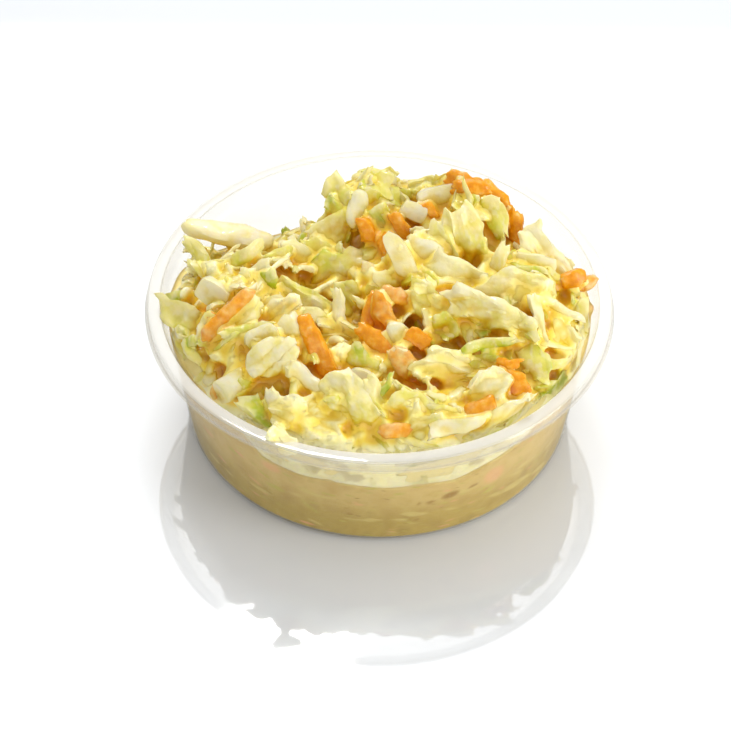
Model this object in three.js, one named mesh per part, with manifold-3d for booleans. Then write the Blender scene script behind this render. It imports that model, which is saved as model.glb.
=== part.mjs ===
// A shallow round deli cup of clear plastic, heaped with coleslaw.
// Millimetres, +Z up. The origin is on the floor, on the cup's own axis, and -Y is the front.

import * as THREE from "three";
import { mergeVertices } from "three/addons/utils/BufferGeometryUtils.js";
import Module from "manifold-3d";

const wasm = await Module();
wasm.setup();

// ---- Driving dimensions ----

const SECTORS = 72; // facets round the cup

const CUP = {
  height: 37.5, // floor to the top of the rim
  wall: 0.7, // moulded wall thickness
  baseRadius: 49.0, // outside, where the wall meets the rounded bottom corner
  baseCorner: 2.5, // radius of that corner, outside
  footWidth: 2.4, // the flat ring that the cup stands on
  footRecess: 0.5, // how far the middle of the base is lifted off the floor
  ledgeRadius: 53.1, // inside, at the lid's stacking ledge
  ledgeDepth: 3.9, // rim top down to the ledge
  ledgeWidth: 0.6, // how far the ledge steps in to the wall below it
  mouthRadius: 54.7, // inside, at the top of the rim
  rimWidth: 3.1, // the flat band on top of the rim
  rimRadius: 58.5, // outside, at the hem of the rim's skirt
  skirtDrop: 3.0, // how far the hem hangs below the rim's top
  edgeEase: 0.2, // rounding of the rim's edges
};

const GAP = 0.3; // clearance between the coleslaw and the cup

// How high the coleslaw stands against the wall. It dips at the front and falls away at the back.
const WALL_LEVEL = 34.5;
const WALL_DIPS = [
  { bearing: -93, drop: 13.0, spread: 15 },
  { bearing: 115, drop: 15.0, spread: 28 },
  { bearing: 44, drop: 9.0, spread: 20 },
];

// How far in from the wall the heap takes to round over. It is steep but for one slope at the back left.
const SHOULDER = 11.0;
const SLOPE = { bearing: 125, extra: 22, spread: 26 };

// The heap is a low dome with mounds and hollows. Each has a place, a height, two spreads and a heading.
const DOME_HEIGHT = 41.5;
const MOUNDS = [
  { name: "back right peak", x: 22, y: 21, height: 14.0, long: 9.5, wide: 9, heading: 40 },
  { name: "back middle peak", x: -2, y: 27, height: 12.0, long: 8, wide: 8, heading: 0 },
  { name: "knob left of it", x: -13, y: 24, height: 7.0, long: 5, wide: 6, heading: 0 },
  { name: "middle ridge", x: 6, y: 4, height: 8.0, long: 18, wide: 8, heading: -50 },
  { name: "left mound", x: -33, y: -5, height: 6.0, long: 11, wide: 9, heading: 60 },
  { name: "left front mound", x: -26, y: -24, height: 3.5, long: 8, wide: 8, heading: 0 },
  { name: "right mound", x: 36, y: -10, height: 5.0, long: 12, wide: 9, heading: 110 },
  { name: "front hollow", x: 3, y: -31, height: -3.5, long: 13, wide: 7, heading: 0 },
  { name: "back left hollow", x: -25, y: 31, height: -8.0, long: 12, wide: 10, heading: 20 },
  { name: "back right hollow", x: 37, y: 25, height: -7.0, long: 11, wide: 8, heading: -50 },
  { name: "hollow left of the ridge", x: -12, y: -3, height: -4.0, long: 12, wide: 5, heading: 55 },
  { name: "hollow behind the ridge", x: 9, y: 18, height: -3.0, long: 8, wide: 5, heading: 100 },
];
const LUMP = 1.2; // height of the uneven lumps that the shreds make
const LUMP_PITCH = 12.0; // distance from one lump to the next

const SKIN = {
  topRings: 23, // rings of triangles over the top of the heap
  crowding: 1.15, // how much closer together the rings lie towards the wall
  sideRings: 4, // rings of triangles down the wall
  floorInset: 2.7, // how far the flat underside stays in from the cup's outer wall
};

// One thick rib of cabbage lies over the rim at the left, held at its inner end by the heap.
const RIB = {
  inner: [-24, 15, 39.0],
  tip: [-50.3, 18.5, 44.8],
  wide: 7.6,
  thick: 4.8,
  taper: 0.6, // size at the tip against size at the inner end
  nose: 0.2, // share of the length that rounds off to the tip
  sides: 14,
  steps: 10,
};

// ---- Helpers ----

const degrees = (angle) => (angle * Math.PI) / 180;

function bell(distance, spread) {
  return Math.exp(-0.5 * (distance / spread) ** 2);
}

function turnBetween(a, b) {
  return THREE.MathUtils.euclideanModulo(a - b + 180, 360) - 180;
}

function meshOf(points, faces) {
  return new THREE.BufferGeometry()
    .setAttribute("position", new THREE.Float32BufferAttribute(points.flat(), 3))
    .setIndex(faces.flat());
}

function solidOf(geometry) {
  const merged = mergeVertices(geometry, 1e-4);
  return new wasm.Manifold(
    new wasm.Mesh({
      numProp: 3,
      vertProperties: merged.attributes.position.array,
      triVerts: new Uint32Array(merged.index.array),
    }),
  );
}

function geometryOf(solid) {
  const mesh = solid.getMesh();
  return new THREE.BufferGeometry()
    .setAttribute("position", new THREE.BufferAttribute(mesh.vertProperties, 3))
    .setIndex(new THREE.BufferAttribute(mesh.triVerts, 1));
}

// A lathe turns its profile about Y, so the turned shape is stood up to have its axis along Z.
function turned(profile) {
  return new THREE.LatheGeometry(profile, SECTORS).rotateX(Math.PI / 2);
}

function arc(centreR, centreZ, radius, from, to, steps) {
  return Array.from({ length: steps + 1 }, (_, i) => {
    const angle = degrees(from + ((to - from) * i) / steps);
    return new THREE.Vector2(centreR + radius * Math.cos(angle), centreZ + radius * Math.sin(angle));
  });
}

// ---- Cup ----

const wallTop = CUP.height - CUP.ledgeDepth;
const wallTopRadius = CUP.ledgeRadius - CUP.ledgeWidth; // inside, just under the ledge

// The inside radius of the cup's wall at a height.
function wallRadius(z) {
  const inside = CUP.baseRadius - CUP.wall;
  const rise = (z - CUP.baseCorner) / (wallTop - CUP.baseCorner);
  return inside + (wallTopRadius - inside) * THREE.MathUtils.clamp(rise, 0, 1);
}

function cupProfile() {
  const { height, wall, baseCorner, footRecess, ledgeRadius, mouthRadius, rimRadius, edgeEase } = CUP;
  const cornerR = CUP.baseRadius - baseCorner;
  const footInner = cornerR - CUP.footWidth;
  const brow = mouthRadius + CUP.rimWidth;
  const hem = height - CUP.skirtDrop;
  const at = (r, z) => new THREE.Vector2(r, z);
  const outside = [
    at(0, footRecess),
    at(footInner, footRecess),
    at(footInner + footRecess, 0),
    ...arc(cornerR, baseCorner, baseCorner, -90, 0, 4),
    at(wallTopRadius + wall, wallTop - wall),
    at(ledgeRadius + wall, wallTop - wall / 2),
    at(mouthRadius, height - wall),
    at(brow - wall, height - wall),
    at(rimRadius - wall, hem),
    at(rimRadius, hem),
    at(brow, height - edgeEase),
  ];
  const inside = [
    at(brow - edgeEase, height),
    at(mouthRadius, height),
    at(mouthRadius - edgeEase, height - edgeEase),
    at(ledgeRadius, wallTop),
    at(wallTopRadius, wallTop),
    ...arc(cornerR, baseCorner, baseCorner - wall, 0, -70, 3),
    at(footInner - wall, footRecess + wall),
    at(0, footRecess + wall),
  ];
  return [...outside, ...inside];
}

function makeCup() {
  const clearPlastic = new THREE.MeshStandardMaterial({
    color: 0xf4f6f4,
    roughness: 0.12,
    metalness: 0,
    transparent: true,
    opacity: 0.3,
  });
  const cup = new THREE.Mesh(turned(cupProfile()), clearPlastic);
  cup.name = "cup";
  return cup;
}

// ---- Coleslaw ----

function wallLevel(bearing) {
  const dips = WALL_DIPS.map((dip) => dip.drop * bell(turnBetween(bearing, dip.bearing), dip.spread));
  return dips.reduce((level, drop) => level - drop, WALL_LEVEL);
}

function moundHeight(mound, x, y) {
  const turn = degrees(mound.heading);
  const dx = x - mound.x;
  const dy = y - mound.y;
  const along = dx * Math.cos(turn) + dy * Math.sin(turn);
  const across = dy * Math.cos(turn) - dx * Math.sin(turn);
  return mound.height * bell(along, mound.long) * bell(across, mound.wide);
}

// Crossed waves of unlike length and heading give lumps that never repeat in the cup.
function lumps(x, y) {
  const k = (2 * Math.PI) / LUMP_PITCH;
  return (
    Math.sin(k * (x + 0.4 * y)) * Math.cos(0.83 * k * (y - 0.3 * x) + 1.1) +
    0.6 * Math.sin(1.5 * k * (0.8 * y - x) + 2.3) * Math.cos(1.3 * k * (x + y) + 0.4)
  );
}

function heapHeight(x, y) {
  const bearing = (Math.atan2(y, x) * 180) / Math.PI;
  const level = wallLevel(bearing);
  const edge = wallRadius(level) - GAP;
  const shoulder = SHOULDER + SLOPE.extra * bell(turnBetween(bearing, SLOPE.bearing), SLOPE.spread);
  const inward = THREE.MathUtils.clamp((edge - Math.hypot(x, y)) / shoulder, 0, 1);
  const rounding = 1 - (1 - inward) ** 2;
  const mounds = MOUNDS.reduce((sum, mound) => sum + moundHeight(mound, x, y), 0);
  const dome = DOME_HEIGHT + mounds + LUMP * lumps(x, y);
  return level + (dome - level) * rounding;
}

// The heap as one closed skin. The top is rings of triangles, six more in each ring than in the one inside it.
// The last ring goes on down the wall and closes over the floor of the cup.
function heapGeometry() {
  const { topRings, crowding, sideRings, floorInset } = SKIN;
  const rim = 6 * topRings;
  const floor = CUP.footRecess + CUP.wall + GAP;
  const points = [[0, 0, heapHeight(0, 0)]];
  const faces = [];
  const addPoint = (r, bearing, z) => {
    const x = r * Math.cos(degrees(bearing));
    const y = r * Math.sin(degrees(bearing));
    points.push([x, y, z ?? heapHeight(x, y)]);
  };

  for (let k = 1; k <= topRings; k++) {
    const share = 1 - (1 - k / topRings) ** crowding;
    for (let i = 0; i < 6 * k; i++) {
      const bearing = (60 * i) / k;
      addPoint((wallRadius(wallLevel(bearing)) - GAP) * share, bearing);
    }
    const outer = (i) => 1 + 3 * k * (k - 1) + (i % (6 * k));
    const inner = (i) => (k === 1 ? 0 : 1 + 3 * (k - 1) * (k - 2) + (i % (6 * (k - 1))));
    for (let i = 0; i < 6 * k; i++) {
      const inside = i - Math.floor(i / k);
      faces.push([outer(i), outer(i + 1), inner(inside)]);
      if (i % k < k - 1) faces.push([inner(inside), outer(i + 1), inner(inside + 1)]);
    }
  }

  for (let j = 1; j <= sideRings; j++) {
    for (let i = 0; i < rim; i++) {
      const bearing = (360 * i) / rim;
      const z = THREE.MathUtils.lerp(wallLevel(bearing), CUP.baseCorner, j / sideRings);
      addPoint(wallRadius(z) - GAP, bearing, z);
    }
  }
  for (let i = 0; i < rim; i++) addPoint(CUP.baseRadius - floorInset, (360 * i) / rim, floor);
  points.push([0, 0, floor]);

  const first = 1 + 3 * topRings * (topRings - 1);
  const last = points.length - 1 - rim;
  for (let i = 0; i < rim; i++) {
    const next = (i + 1) % rim;
    for (let high = first; high < last; high += rim) {
      const low = high + rim;
      faces.push([low + i, low + next, high + next], [low + i, high + next, high + i]);
    }
    faces.push([points.length - 1, last + next, last + i]);
  }
  return meshOf(points, faces);
}

// A rounded, tapering bar from inside the heap out over the rim.
function ribGeometry() {
  const inner = new THREE.Vector3(...RIB.inner);
  const tip = new THREE.Vector3(...RIB.tip);
  const forward = tip.clone().sub(inner).normalize();
  const side = new THREE.Vector3(0, 0, 1).cross(forward).normalize();
  const up = forward.clone().cross(side);
  const blunt = 0.25; // size left at the very tip, which a flat cap closes
  const points = [];
  for (let j = 0; j <= RIB.steps; j++) {
    const share = j / RIB.steps;
    const intoNose = Math.max(0, (share - (1 - RIB.nose)) / RIB.nose);
    const rounding = Math.sqrt(1 - (1 - blunt ** 2) * intoNose ** 2);
    const size = THREE.MathUtils.lerp(1, RIB.taper, share) * rounding;
    for (let i = 0; i < RIB.sides; i++) {
      const turn = (2 * Math.PI * i) / RIB.sides;
      const point = inner.clone().lerp(tip, share);
      point.addScaledVector(side, (Math.cos(turn) * RIB.wide * size) / 2);
      point.addScaledVector(up, (Math.sin(turn) * RIB.thick * size) / 2);
      points.push(point.toArray());
    }
  }
  points.push(RIB.inner, RIB.tip);
  const faces = [];
  const last = RIB.steps * RIB.sides;
  for (let i = 0; i < RIB.sides; i++) {
    const next = (i + 1) % RIB.sides;
    faces.push([points.length - 2, next, i], [points.length - 1, last + i, last + next]);
    for (let low = 0; low < last; low += RIB.sides) {
      const high = low + RIB.sides;
      faces.push([low + i, low + next, high + next], [low + i, high + next, high + i]);
    }
  }
  return meshOf(points, faces);
}

function makeColeslaw() {
  const dressedCabbage = new THREE.MeshStandardMaterial({
    color: 0xe9dfa0,
    roughness: 0.35,
    metalness: 0,
  });
  const heap = solidOf(heapGeometry()).add(solidOf(ribGeometry()));
  const coleslaw = new THREE.Mesh(geometryOf(heap), dressedCabbage);
  coleslaw.name = "coleslaw";
  return coleslaw;
}

// ---- The part ----

const part = new THREE.Group();
part.add(makeCup(), makeColeslaw());

export default part;
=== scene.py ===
"""Coleslaw in a clear deli cup: heaped chopped cabbage and carrot, bound with creamy dressing.

Everything is in metres in the part's own frame: the origin is on the floor under the cup's axis, +Z is up
and -Y is the front. Sizes inside the classes are in millimetres, and MM turns them to metres.
"""

import logging
import math
from dataclasses import dataclass, field, replace
from enum import Enum
from typing import Any

import bpy
import numpy as np
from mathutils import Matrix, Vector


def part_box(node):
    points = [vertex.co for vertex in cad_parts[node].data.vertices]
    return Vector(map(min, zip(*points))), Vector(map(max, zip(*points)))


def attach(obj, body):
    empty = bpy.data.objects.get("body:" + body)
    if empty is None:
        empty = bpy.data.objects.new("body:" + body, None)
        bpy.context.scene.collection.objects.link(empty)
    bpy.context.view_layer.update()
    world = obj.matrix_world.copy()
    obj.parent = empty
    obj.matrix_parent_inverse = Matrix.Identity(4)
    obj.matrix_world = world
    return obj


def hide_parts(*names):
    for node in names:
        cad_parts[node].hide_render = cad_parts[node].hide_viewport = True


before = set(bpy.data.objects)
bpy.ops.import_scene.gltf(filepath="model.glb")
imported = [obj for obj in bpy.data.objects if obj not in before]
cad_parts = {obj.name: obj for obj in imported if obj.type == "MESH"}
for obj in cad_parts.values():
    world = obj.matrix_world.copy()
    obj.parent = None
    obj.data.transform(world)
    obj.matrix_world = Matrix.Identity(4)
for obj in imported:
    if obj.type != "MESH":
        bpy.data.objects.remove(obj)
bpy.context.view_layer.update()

import openvdb
from mathutils import Matrix, Vector
from mathutils.bvhtree import BVHTree

MM = 0.001
LOG = logging.getLogger("coleslaw")

Array = np.ndarray
NodeTree = bpy.types.NodeTree
Stops = tuple[tuple[float, str], ...]


# ---------------------------------------------------------------- numbers and colours


def linear(hex_colour: str) -> tuple[float, float, float, float]:
    """Turns an sRGB hex colour to linear light.

    Args:
        hex_colour: Six hex digits, such as "f4e9c0".

    Returns:
        Red, green, blue and an alpha of 1.
    """
    parts = [int(hex_colour[i : i + 2], 16) / 255 for i in (0, 2, 4)]
    light = [p / 12.92 if p <= 0.04045 else ((p + 0.055) / 1.055) ** 2.4 for p in parts]
    return (light[0], light[1], light[2], 1.0)


def smoothstep(low: float, high: float, value: Array | float) -> Any:
    """Rises smoothly from 0 at low to 1 at high.

    Args:
        low: Where the rise starts.
        high: Where the rise ends.
        value: What is measured against them.

    Returns:
        The share of the rise, of the same shape as value.
    """
    t = np.clip((value - low) / (high - low), 0.0, 1.0)
    return t * t * (3 - 2 * t)


def lattice_noise(points: Array, cell: float, seed: int) -> Array:
    """Smooth random numbers in space, from values hashed at the corners of a cubic lattice.

    Args:
        points: Places, N by 3, in any one unit.
        cell: The lattice spacing in that unit, which is the size of the blobs.
        seed: Which random field.

    Returns:
        N numbers from -1 to 1.
    """
    scaled = points / cell
    low = np.floor(scaled).astype(np.int64)
    part = scaled - low
    ease = part * part * (3 - 2 * part)
    total = np.zeros(len(points))
    for corner in range(8):
        step = np.array([corner & 1, corner >> 1 & 1, corner >> 2 & 1])
        at = low + step
        mixed = at[:, 0] * 73856093 ^ at[:, 1] * 19349663 ^ at[:, 2] * 83492791 ^ seed * 2654435761
        mixed = (mixed ^ (mixed >> 13)) * 1274126177 & 0x7FFFFFFF
        weight = np.prod(np.where(step, ease, 1 - ease), axis=1)
        total += weight * (mixed % 65536 / 32767.5 - 1)
    return total


# ---------------------------------------------------------------- shader helpers


def add_node(tree: NodeTree, kind: str, settings: dict[str, Any] | None = None, **sockets: Any) -> Any:
    """Adds one node, sets it up and links its inputs.

    Args:
        tree: The material's or world's node tree.
        kind: The node's Blender type name.
        settings: Properties of the node itself, by name.
        **sockets: Inputs by name, with _ for a space, or by number as i0, i1. A socket is linked, and
            anything else is set as the input's value.

    Returns:
        The new node.
    """
    node = tree.nodes.new(kind)
    for name, value in (settings or {}).items():
        setattr(node, name, value)
    for name, value in sockets.items():
        place = int(name[1:]) if name[0] == "i" and name[1:].isdigit() else name.replace("_", " ")
        if isinstance(value, bpy.types.NodeSocket):
            tree.links.new(value, node.inputs[place])
        else:
            node.inputs[place].default_value = value
    return node


def ramp(tree: NodeTree, source: Any, stops: Stops) -> Any:
    """Adds a colour ramp with the given stops.

    Args:
        tree: The node tree.
        source: The socket that drives the ramp.
        stops: Places from 0 to 1, each with an sRGB hex colour.

    Returns:
        The ramp's colour socket.
    """
    node = add_node(tree, "ShaderNodeValToRGB", Fac=source)
    elements = node.color_ramp.elements
    while len(elements) < len(stops):
        elements.new(0.5)
    for element, (place, colour) in zip(elements, stops):
        element.position = place
        element.color = linear(colour)
    return node.outputs["Color"]


def new_material(name: str) -> tuple[bpy.types.Material, NodeTree]:
    """Makes an empty node material.

    Args:
        name: The finish's name.

    Returns:
        The material and its node tree.
    """
    material = bpy.data.materials.new(name)
    material.use_nodes = True
    material.node_tree.nodes.clear()
    return material, material.node_tree


def place_noise(
    tree: NodeTree, size_mm: float, detail: float = 2.0, stretch: tuple[float, float, float] = (1, 1, 1)
) -> Any:
    """Adds noise fixed to the object, with blobs of a real size.

    Args:
        tree: The node tree.
        size_mm: The size of a blob in millimetres.
        detail: How many finer layers are added.
        stretch: How much shorter the blobs are along each axis.

    Returns:
        The noise's value socket, from 0 to 1.
    """
    place = add_node(tree, "ShaderNodeTexCoord")
    scaled = add_node(tree, "ShaderNodeMapping", Vector=place.outputs["Object"], Scale=stretch)
    pitch = 1 / (size_mm * MM)
    noise = add_node(tree, "ShaderNodeTexNoise", Vector=scaled.outputs["Vector"], Scale=pitch, Detail=detail)
    return noise.outputs["Fac"]


def blend_colours(tree: NodeTree, share: Any, first: Any, second: Any) -> Any:
    """Mixes two colours.

    Args:
        tree: The node tree.
        share: How much of the second shows, as a number or a socket.
        first: A colour or a colour socket.
        second: A colour or a colour socket.

    Returns:
        The mixed colour's socket.
    """
    return add_node(tree, "ShaderNodeMix", {"data_type": "RGBA"}, i0=share, i6=first, i7=second).outputs[2]


def window(tree: NodeTree, source: Any, low: float, high: float) -> Any:
    """Maps the range low to high onto 0 to 1, with a soft start and end.

    Args:
        tree: The node tree.
        source: The value socket to map.
        low: What becomes 0.
        high: What becomes 1.

    Returns:
        The mapped value's socket.
    """
    soft = {"interpolation_type": "SMOOTHSTEP"}
    node = add_node(tree, "ShaderNodeMapRange", soft, Value=source, From_Min=low, From_Max=high)
    return node.outputs["Result"]


# ---------------------------------------------------------------- finishes


@dataclass(frozen=True)
class MoistFood:
    """Wet plant tissue or dressing: light soaks in and glows out again, under a thin wet gloss."""

    name: str
    glow_mm: float = 1.6
    glow: float = 0.35
    roughness: float = 0.32
    wetness: float = 0.5
    grain_mm: float = 0.8
    grain_depth_mm: float = 0.14
    seen_through: float = 0.0

    def colour(self, tree: NodeTree) -> Any:
        """Returns the socket of the bare colour, before dressing is smeared on it."""
        raise NotImplementedError

    def make(self) -> bpy.types.Material:
        """Builds the material.

        Returns:
            The finished material.
        """
        material, tree = new_material(self.name)
        colour = self.colour(tree)
        grain = place_noise(tree, self.grain_mm, detail=3.0)
        bump = add_node(tree, "ShaderNodeBump", Height=grain, Distance=self.grain_depth_mm * MM, Strength=1.0)
        patches = place_noise(tree, 3.0)
        rough = add_node(
            tree,
            "ShaderNodeMapRange",
            Value=patches,
            From_Min=0.3,
            From_Max=0.7,
            To_Min=self.roughness - 0.08,
            To_Max=self.roughness + 0.12,
        )
        skin = add_node(
            tree,
            "ShaderNodeBsdfPrincipled",
            {"subsurface_method": "RANDOM_WALK"},
            Base_Color=colour,
            Roughness=rough.outputs["Result"],
            IOR=1.38,
            Subsurface_Weight=self.glow,
            Subsurface_Radius=(1.0, 0.85, 0.4),
            Subsurface_Scale=self.glow_mm * MM,
            Coat_Weight=self.wetness,
            Coat_Roughness=0.1,
            Coat_IOR=1.36,
            Normal=bump.outputs["Normal"],
        )
        surface = skin.outputs["BSDF"]
        if self.seen_through:
            through = add_node(tree, "ShaderNodeBsdfTranslucent", Color=colour).outputs["BSDF"]
            mix = add_node(tree, "ShaderNodeMixShader", i0=self.seen_through, i1=surface, i2=through)
            surface = mix.outputs["Shader"]
        add_node(tree, "ShaderNodeOutputMaterial", Surface=surface)
        return material


# Dressing, from a thin pale film on a crest to a golden pool in a fold: the golden end is painted shade.
DRESSING_STOPS: Stops = ((0.35, "fbf3c6"), (0.6, "f9eeae"), (0.75, "f5e68c"), (0.9, "ecd662"))
# Cabbage, from the pale rib to the green edge of an outer leaf.
LEAF_STOPS: Stops = (
    (0.0, "fcf4d0"),
    (0.16, "fbf0b4"),
    (0.35, "f5ea8c"),
    (0.62, "eae368"),
    (0.86, "d6d644"),
    (1.0, "bac82c"),
)
# Carrot, from its outer flesh to its pale core; the palest stop also paints wet glints.
CARROT_STOPS: Stops = ((0.3, "e69600"), (0.5, "f2a60c"), (0.65, "f9b83a"), (0.8, "fbd08a"))
# Painted shade that darkens and yellows a colour, from an open top to a deep gap.
PAINTED_GAP_SHADE: Stops = ((0.0, "ffffff"), (0.22, "fefada"), (0.42, "f8e56c"), (0.66, "eec22a"), (1.0, "dc9e08"))


def attribute(tree: NodeTree, name: str) -> Any:
    """Returns the socket that reads a number stored on the mesh's vertices."""
    return add_node(tree, "ShaderNodeAttribute", {"attribute_name": name}).outputs["Fac"]


def arithmetic(tree: NodeTree, operation: str, first: Any, second: Any) -> Any:
    """Returns the socket of a sum, product or power of two numbers or sockets."""
    return add_node(tree, "ShaderNodeMath", {"operation": operation}, i0=first, i1=second).outputs["Value"]


def shaded_in_gaps(tree: NodeTree, colour: Any, strength: float = 1.0) -> Any:
    """Paints shade into a colour: golden and darker where the deep attribute is high, in the gaps between the
    shreds.

    Args:
        tree: The node tree.
        colour: The colour at the open surface.
        strength: How much of the painted shade is taken up.

    Returns:
        The shaded colour's socket.
    """
    # Painted shade: the deep attribute darkens and yellows the colour where little light reaches.
    shade_tint = ramp(tree, attribute(tree, "deep"), PAINTED_GAP_SHADE)
    multiply = {"data_type": "RGBA", "blend_type": "MULTIPLY"}
    return add_node(tree, "ShaderNodeMix", multiply, i0=strength, i6=colour, i7=shade_tint).outputs[2]


def leaf_colour(tree: NodeTree) -> Any:
    """Gives raw cabbage its hue from the green attribute, with pale veins, painted light on the crests and
    painted shade in the folds.

    Args:
        tree: The node tree.

    Returns:
        The colour's socket.
    """
    centred = arithmetic(tree, "SUBTRACT", place_noise(tree, 3.6), 0.5)
    patches = arithmetic(tree, "MULTIPLY", centred, 1.1)
    bare = ramp(tree, arithmetic(tree, "ADD", attribute(tree, "green"), patches), LEAF_STOPS)
    veins = window(tree, place_noise(tree, 1.6, detail=1.0, stretch=(1, 0.35, 1)), 0.5, 0.68)
    veined = blend_colours(tree, arithmetic(tree, "MULTIPLY", veins, 0.4), bare, linear("fbf4d2"))
    # Painted light and shade: the fold attribute pales the crests and turns the hollows golden-olive.
    folds = arithmetic(tree, "ADD", attribute(tree, "fold"), place_noise(tree, 3.4))
    hollow = window(tree, folds, 0.85, 1.35)
    crest = window(tree, folds, 0.8, 0.4)
    shaded_in_folds = blend_colours(tree, arithmetic(tree, "MULTIPLY", hollow, 0.7), veined, linear("e2ca44"))
    return blend_colours(tree, arithmetic(tree, "MULTIPLY", crest, 0.7), shaded_in_folds, linear("fbf2b6"))


def creamed(tree: NodeTree, bare: Any, low: float, high: float) -> Any:
    """Smears dressing over a bare colour, thick where the cream attribute is high, and golden in folds as
    painted shade.

    Args:
        tree: The node tree.
        bare: The bare colour's socket.
        low: The cream and noise together at which it starts to show.
        high: The cream and noise together that hide what is under it.

    Returns:
        The dressed colour's socket.
    """
    smear = arithmetic(tree, "ADD", attribute(tree, "cream"), place_noise(tree, 2.8, detail=3.0))
    share = window(tree, smear, low, high)
    # Painted shade: the dressing turns golden where the fold attribute is high.
    fold_shade = arithmetic(tree, "ADD", attribute(tree, "fold"), place_noise(tree, 4.0))
    dressing = ramp(tree, arithmetic(tree, "MULTIPLY", fold_shade, 0.6), DRESSING_STOPS)
    return blend_colours(tree, share, bare, dressing)


@dataclass(frozen=True)
class RawCabbageLeaf(MoistFood):
    """Raw white cabbage leaf, chopped: pale and see-through at the ribs, yellow-green at the leaf's edge.

    The eye gets a soft gradient in each piece, with faint veins, and a wet gloss.
    """

    name: str = "raw_cabbage_leaf"
    glow_mm: float = 0.9
    glow: float = 0.3
    seen_through: float = 0.28

    def colour(self, tree: NodeTree) -> Any:
        """Returns the leaf's colour socket: greenness sets the hue, and veins pale it."""
        return shaded_in_gaps(tree, creamed(tree, leaf_colour(tree), 0.75, 1.5))


@dataclass(frozen=True)
class RawCarrot(MoistFood):
    """Raw carrot, shredded: bright orange flesh with a fine torn grain that the dressing whitens.

    The eye gets a saturated orange with small pale glints along the shred.
    """

    name: str = "raw_carrot"
    glow_mm: float = 1.2
    glow: float = 0.5
    wetness: float = 0.45
    grain_mm: float = 0.9
    seen_through: float = 0.2

    def colour(self, tree: NodeTree) -> Any:
        """Returns the carrot's colour socket, orange with paler streaks of its core and painted glints."""
        flesh_and_glints = ramp(tree, place_noise(tree, 1.8), CARROT_STOPS)
        return shaded_in_gaps(tree, creamed(tree, flesh_and_glints, 0.72, 1.5))


@dataclass(frozen=True)
class CreamyDressing(MoistFood):
    """Mayonnaise dressing thinned with cabbage juice: smooth, pale cream and glossy.

    The eye gets a soft ivory that runs together between the shreds. Thin dressing shows what lies under it.
    """

    name: str = "creamy_dressing"
    glow_mm: float = 1.8
    glow: float = 0.55
    roughness: float = 0.36
    wetness: float = 0.4
    grain_mm: float = 1.3
    grain_depth_mm: float = 0.2

    def colour(self, tree: NodeTree) -> Any:
        """Returns the dressing's colour socket, tinted by the cabbage and carrot that it covers."""
        under = blend_colours(tree, attribute(tree, "orange"), leaf_colour(tree), linear("f2b84e"))
        return shaded_in_gaps(tree, creamed(tree, under, 0.5, 1.2), 0.9)


# Shreds pressed on the wall: length and width in millimetres, seed, how rare they are, and colour.
PRESSED_SHREDS = (
    (5.0, 1.1, 1.0, 0.64, "bcae48"),
    (3.0, 0.9, 5.0, 0.67, "a1832e"),
    (7.0, 1.6, 9.0, 0.66, "dfa070"),
    (11.0, 3.4, 13.0, 0.6, "cdb864"),
)


@dataclass(frozen=True)
class PackedSlaw(MoistFood):
    """Slaw pressed against clear plastic: dressing with the ends and edges of shreds showing through it.

    The eye gets a tan cream with soft short streaks of green, white and orange that lie mostly level.
    """

    name: str = "packed_slaw"
    glow: float = 0.3
    roughness: float = 0.5
    wetness: float = 0.0
    low: Stops = ((0.3, "a88b2c"), (0.55, "b69b3a"), (0.75, "a28729"))
    high: Stops = ((0.3, "c4a454"), (0.55, "d0b467"), (0.75, "c0a04a"))
    low_mm: float = 6.0
    high_mm: float = 19.0
    marks: tuple[tuple[str, str, float], ...] = (
        ("green", "b9b040", 0.8),
        ("carrot", "e9a878", 0.5),
        # A bubble is a hollow behind the wall: its dark colour is painted shade.
        ("bubble_shade", "a07a1c", 1.0),
    )

    def colour(self, tree: NodeTree) -> Any:
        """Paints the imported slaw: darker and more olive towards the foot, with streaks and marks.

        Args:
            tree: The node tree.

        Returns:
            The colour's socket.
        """
        place = add_node(tree, "ShaderNodeTexCoord").outputs["Object"]
        level = add_node(tree, "ShaderNodeSeparateXYZ", Vector=place).outputs["Z"]
        low = ramp(tree, place_noise(tree, 7.0, 3.0), self.low)
        high = ramp(tree, place_noise(tree, 7.0, 3.0), self.high)
        colour = blend_colours(tree, window(tree, level, self.low_mm * MM, self.high_mm * MM), low, high)
        run = attribute(tree, "round_wall")
        slanted = arithmetic(tree, "ADD", level, arithmetic(tree, "MULTIPLY", run, 0.12))
        for length_mm, width_mm, seed, start, tone in PRESSED_SHREDS:
            along = arithmetic(tree, "DIVIDE", run, length_mm * MM)
            up = arithmetic(tree, "DIVIDE", slanted, width_mm * MM)
            spot = add_node(tree, "ShaderNodeCombineXYZ", X=along, Y=up, Z=seed)
            place = spot.outputs["Vector"]
            streak = add_node(tree, "ShaderNodeTexNoise", Vector=place, Scale=1.0, Detail=1.0)
            share = window(tree, streak.outputs["Fac"], start, start + 0.1)
            colour = blend_colours(tree, arithmetic(tree, "MULTIPLY", share, 0.8), colour, linear(tone))
        colour = blend_colours(tree, attribute(tree, "lid"), colour, linear("f8e69a"))
        for kind, tone, strength in self.marks:
            share = arithmetic(tree, "MULTIPLY", attribute(tree, kind), strength)
            colour = blend_colours(tree, share, colour, linear(tone))
        return colour


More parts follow.
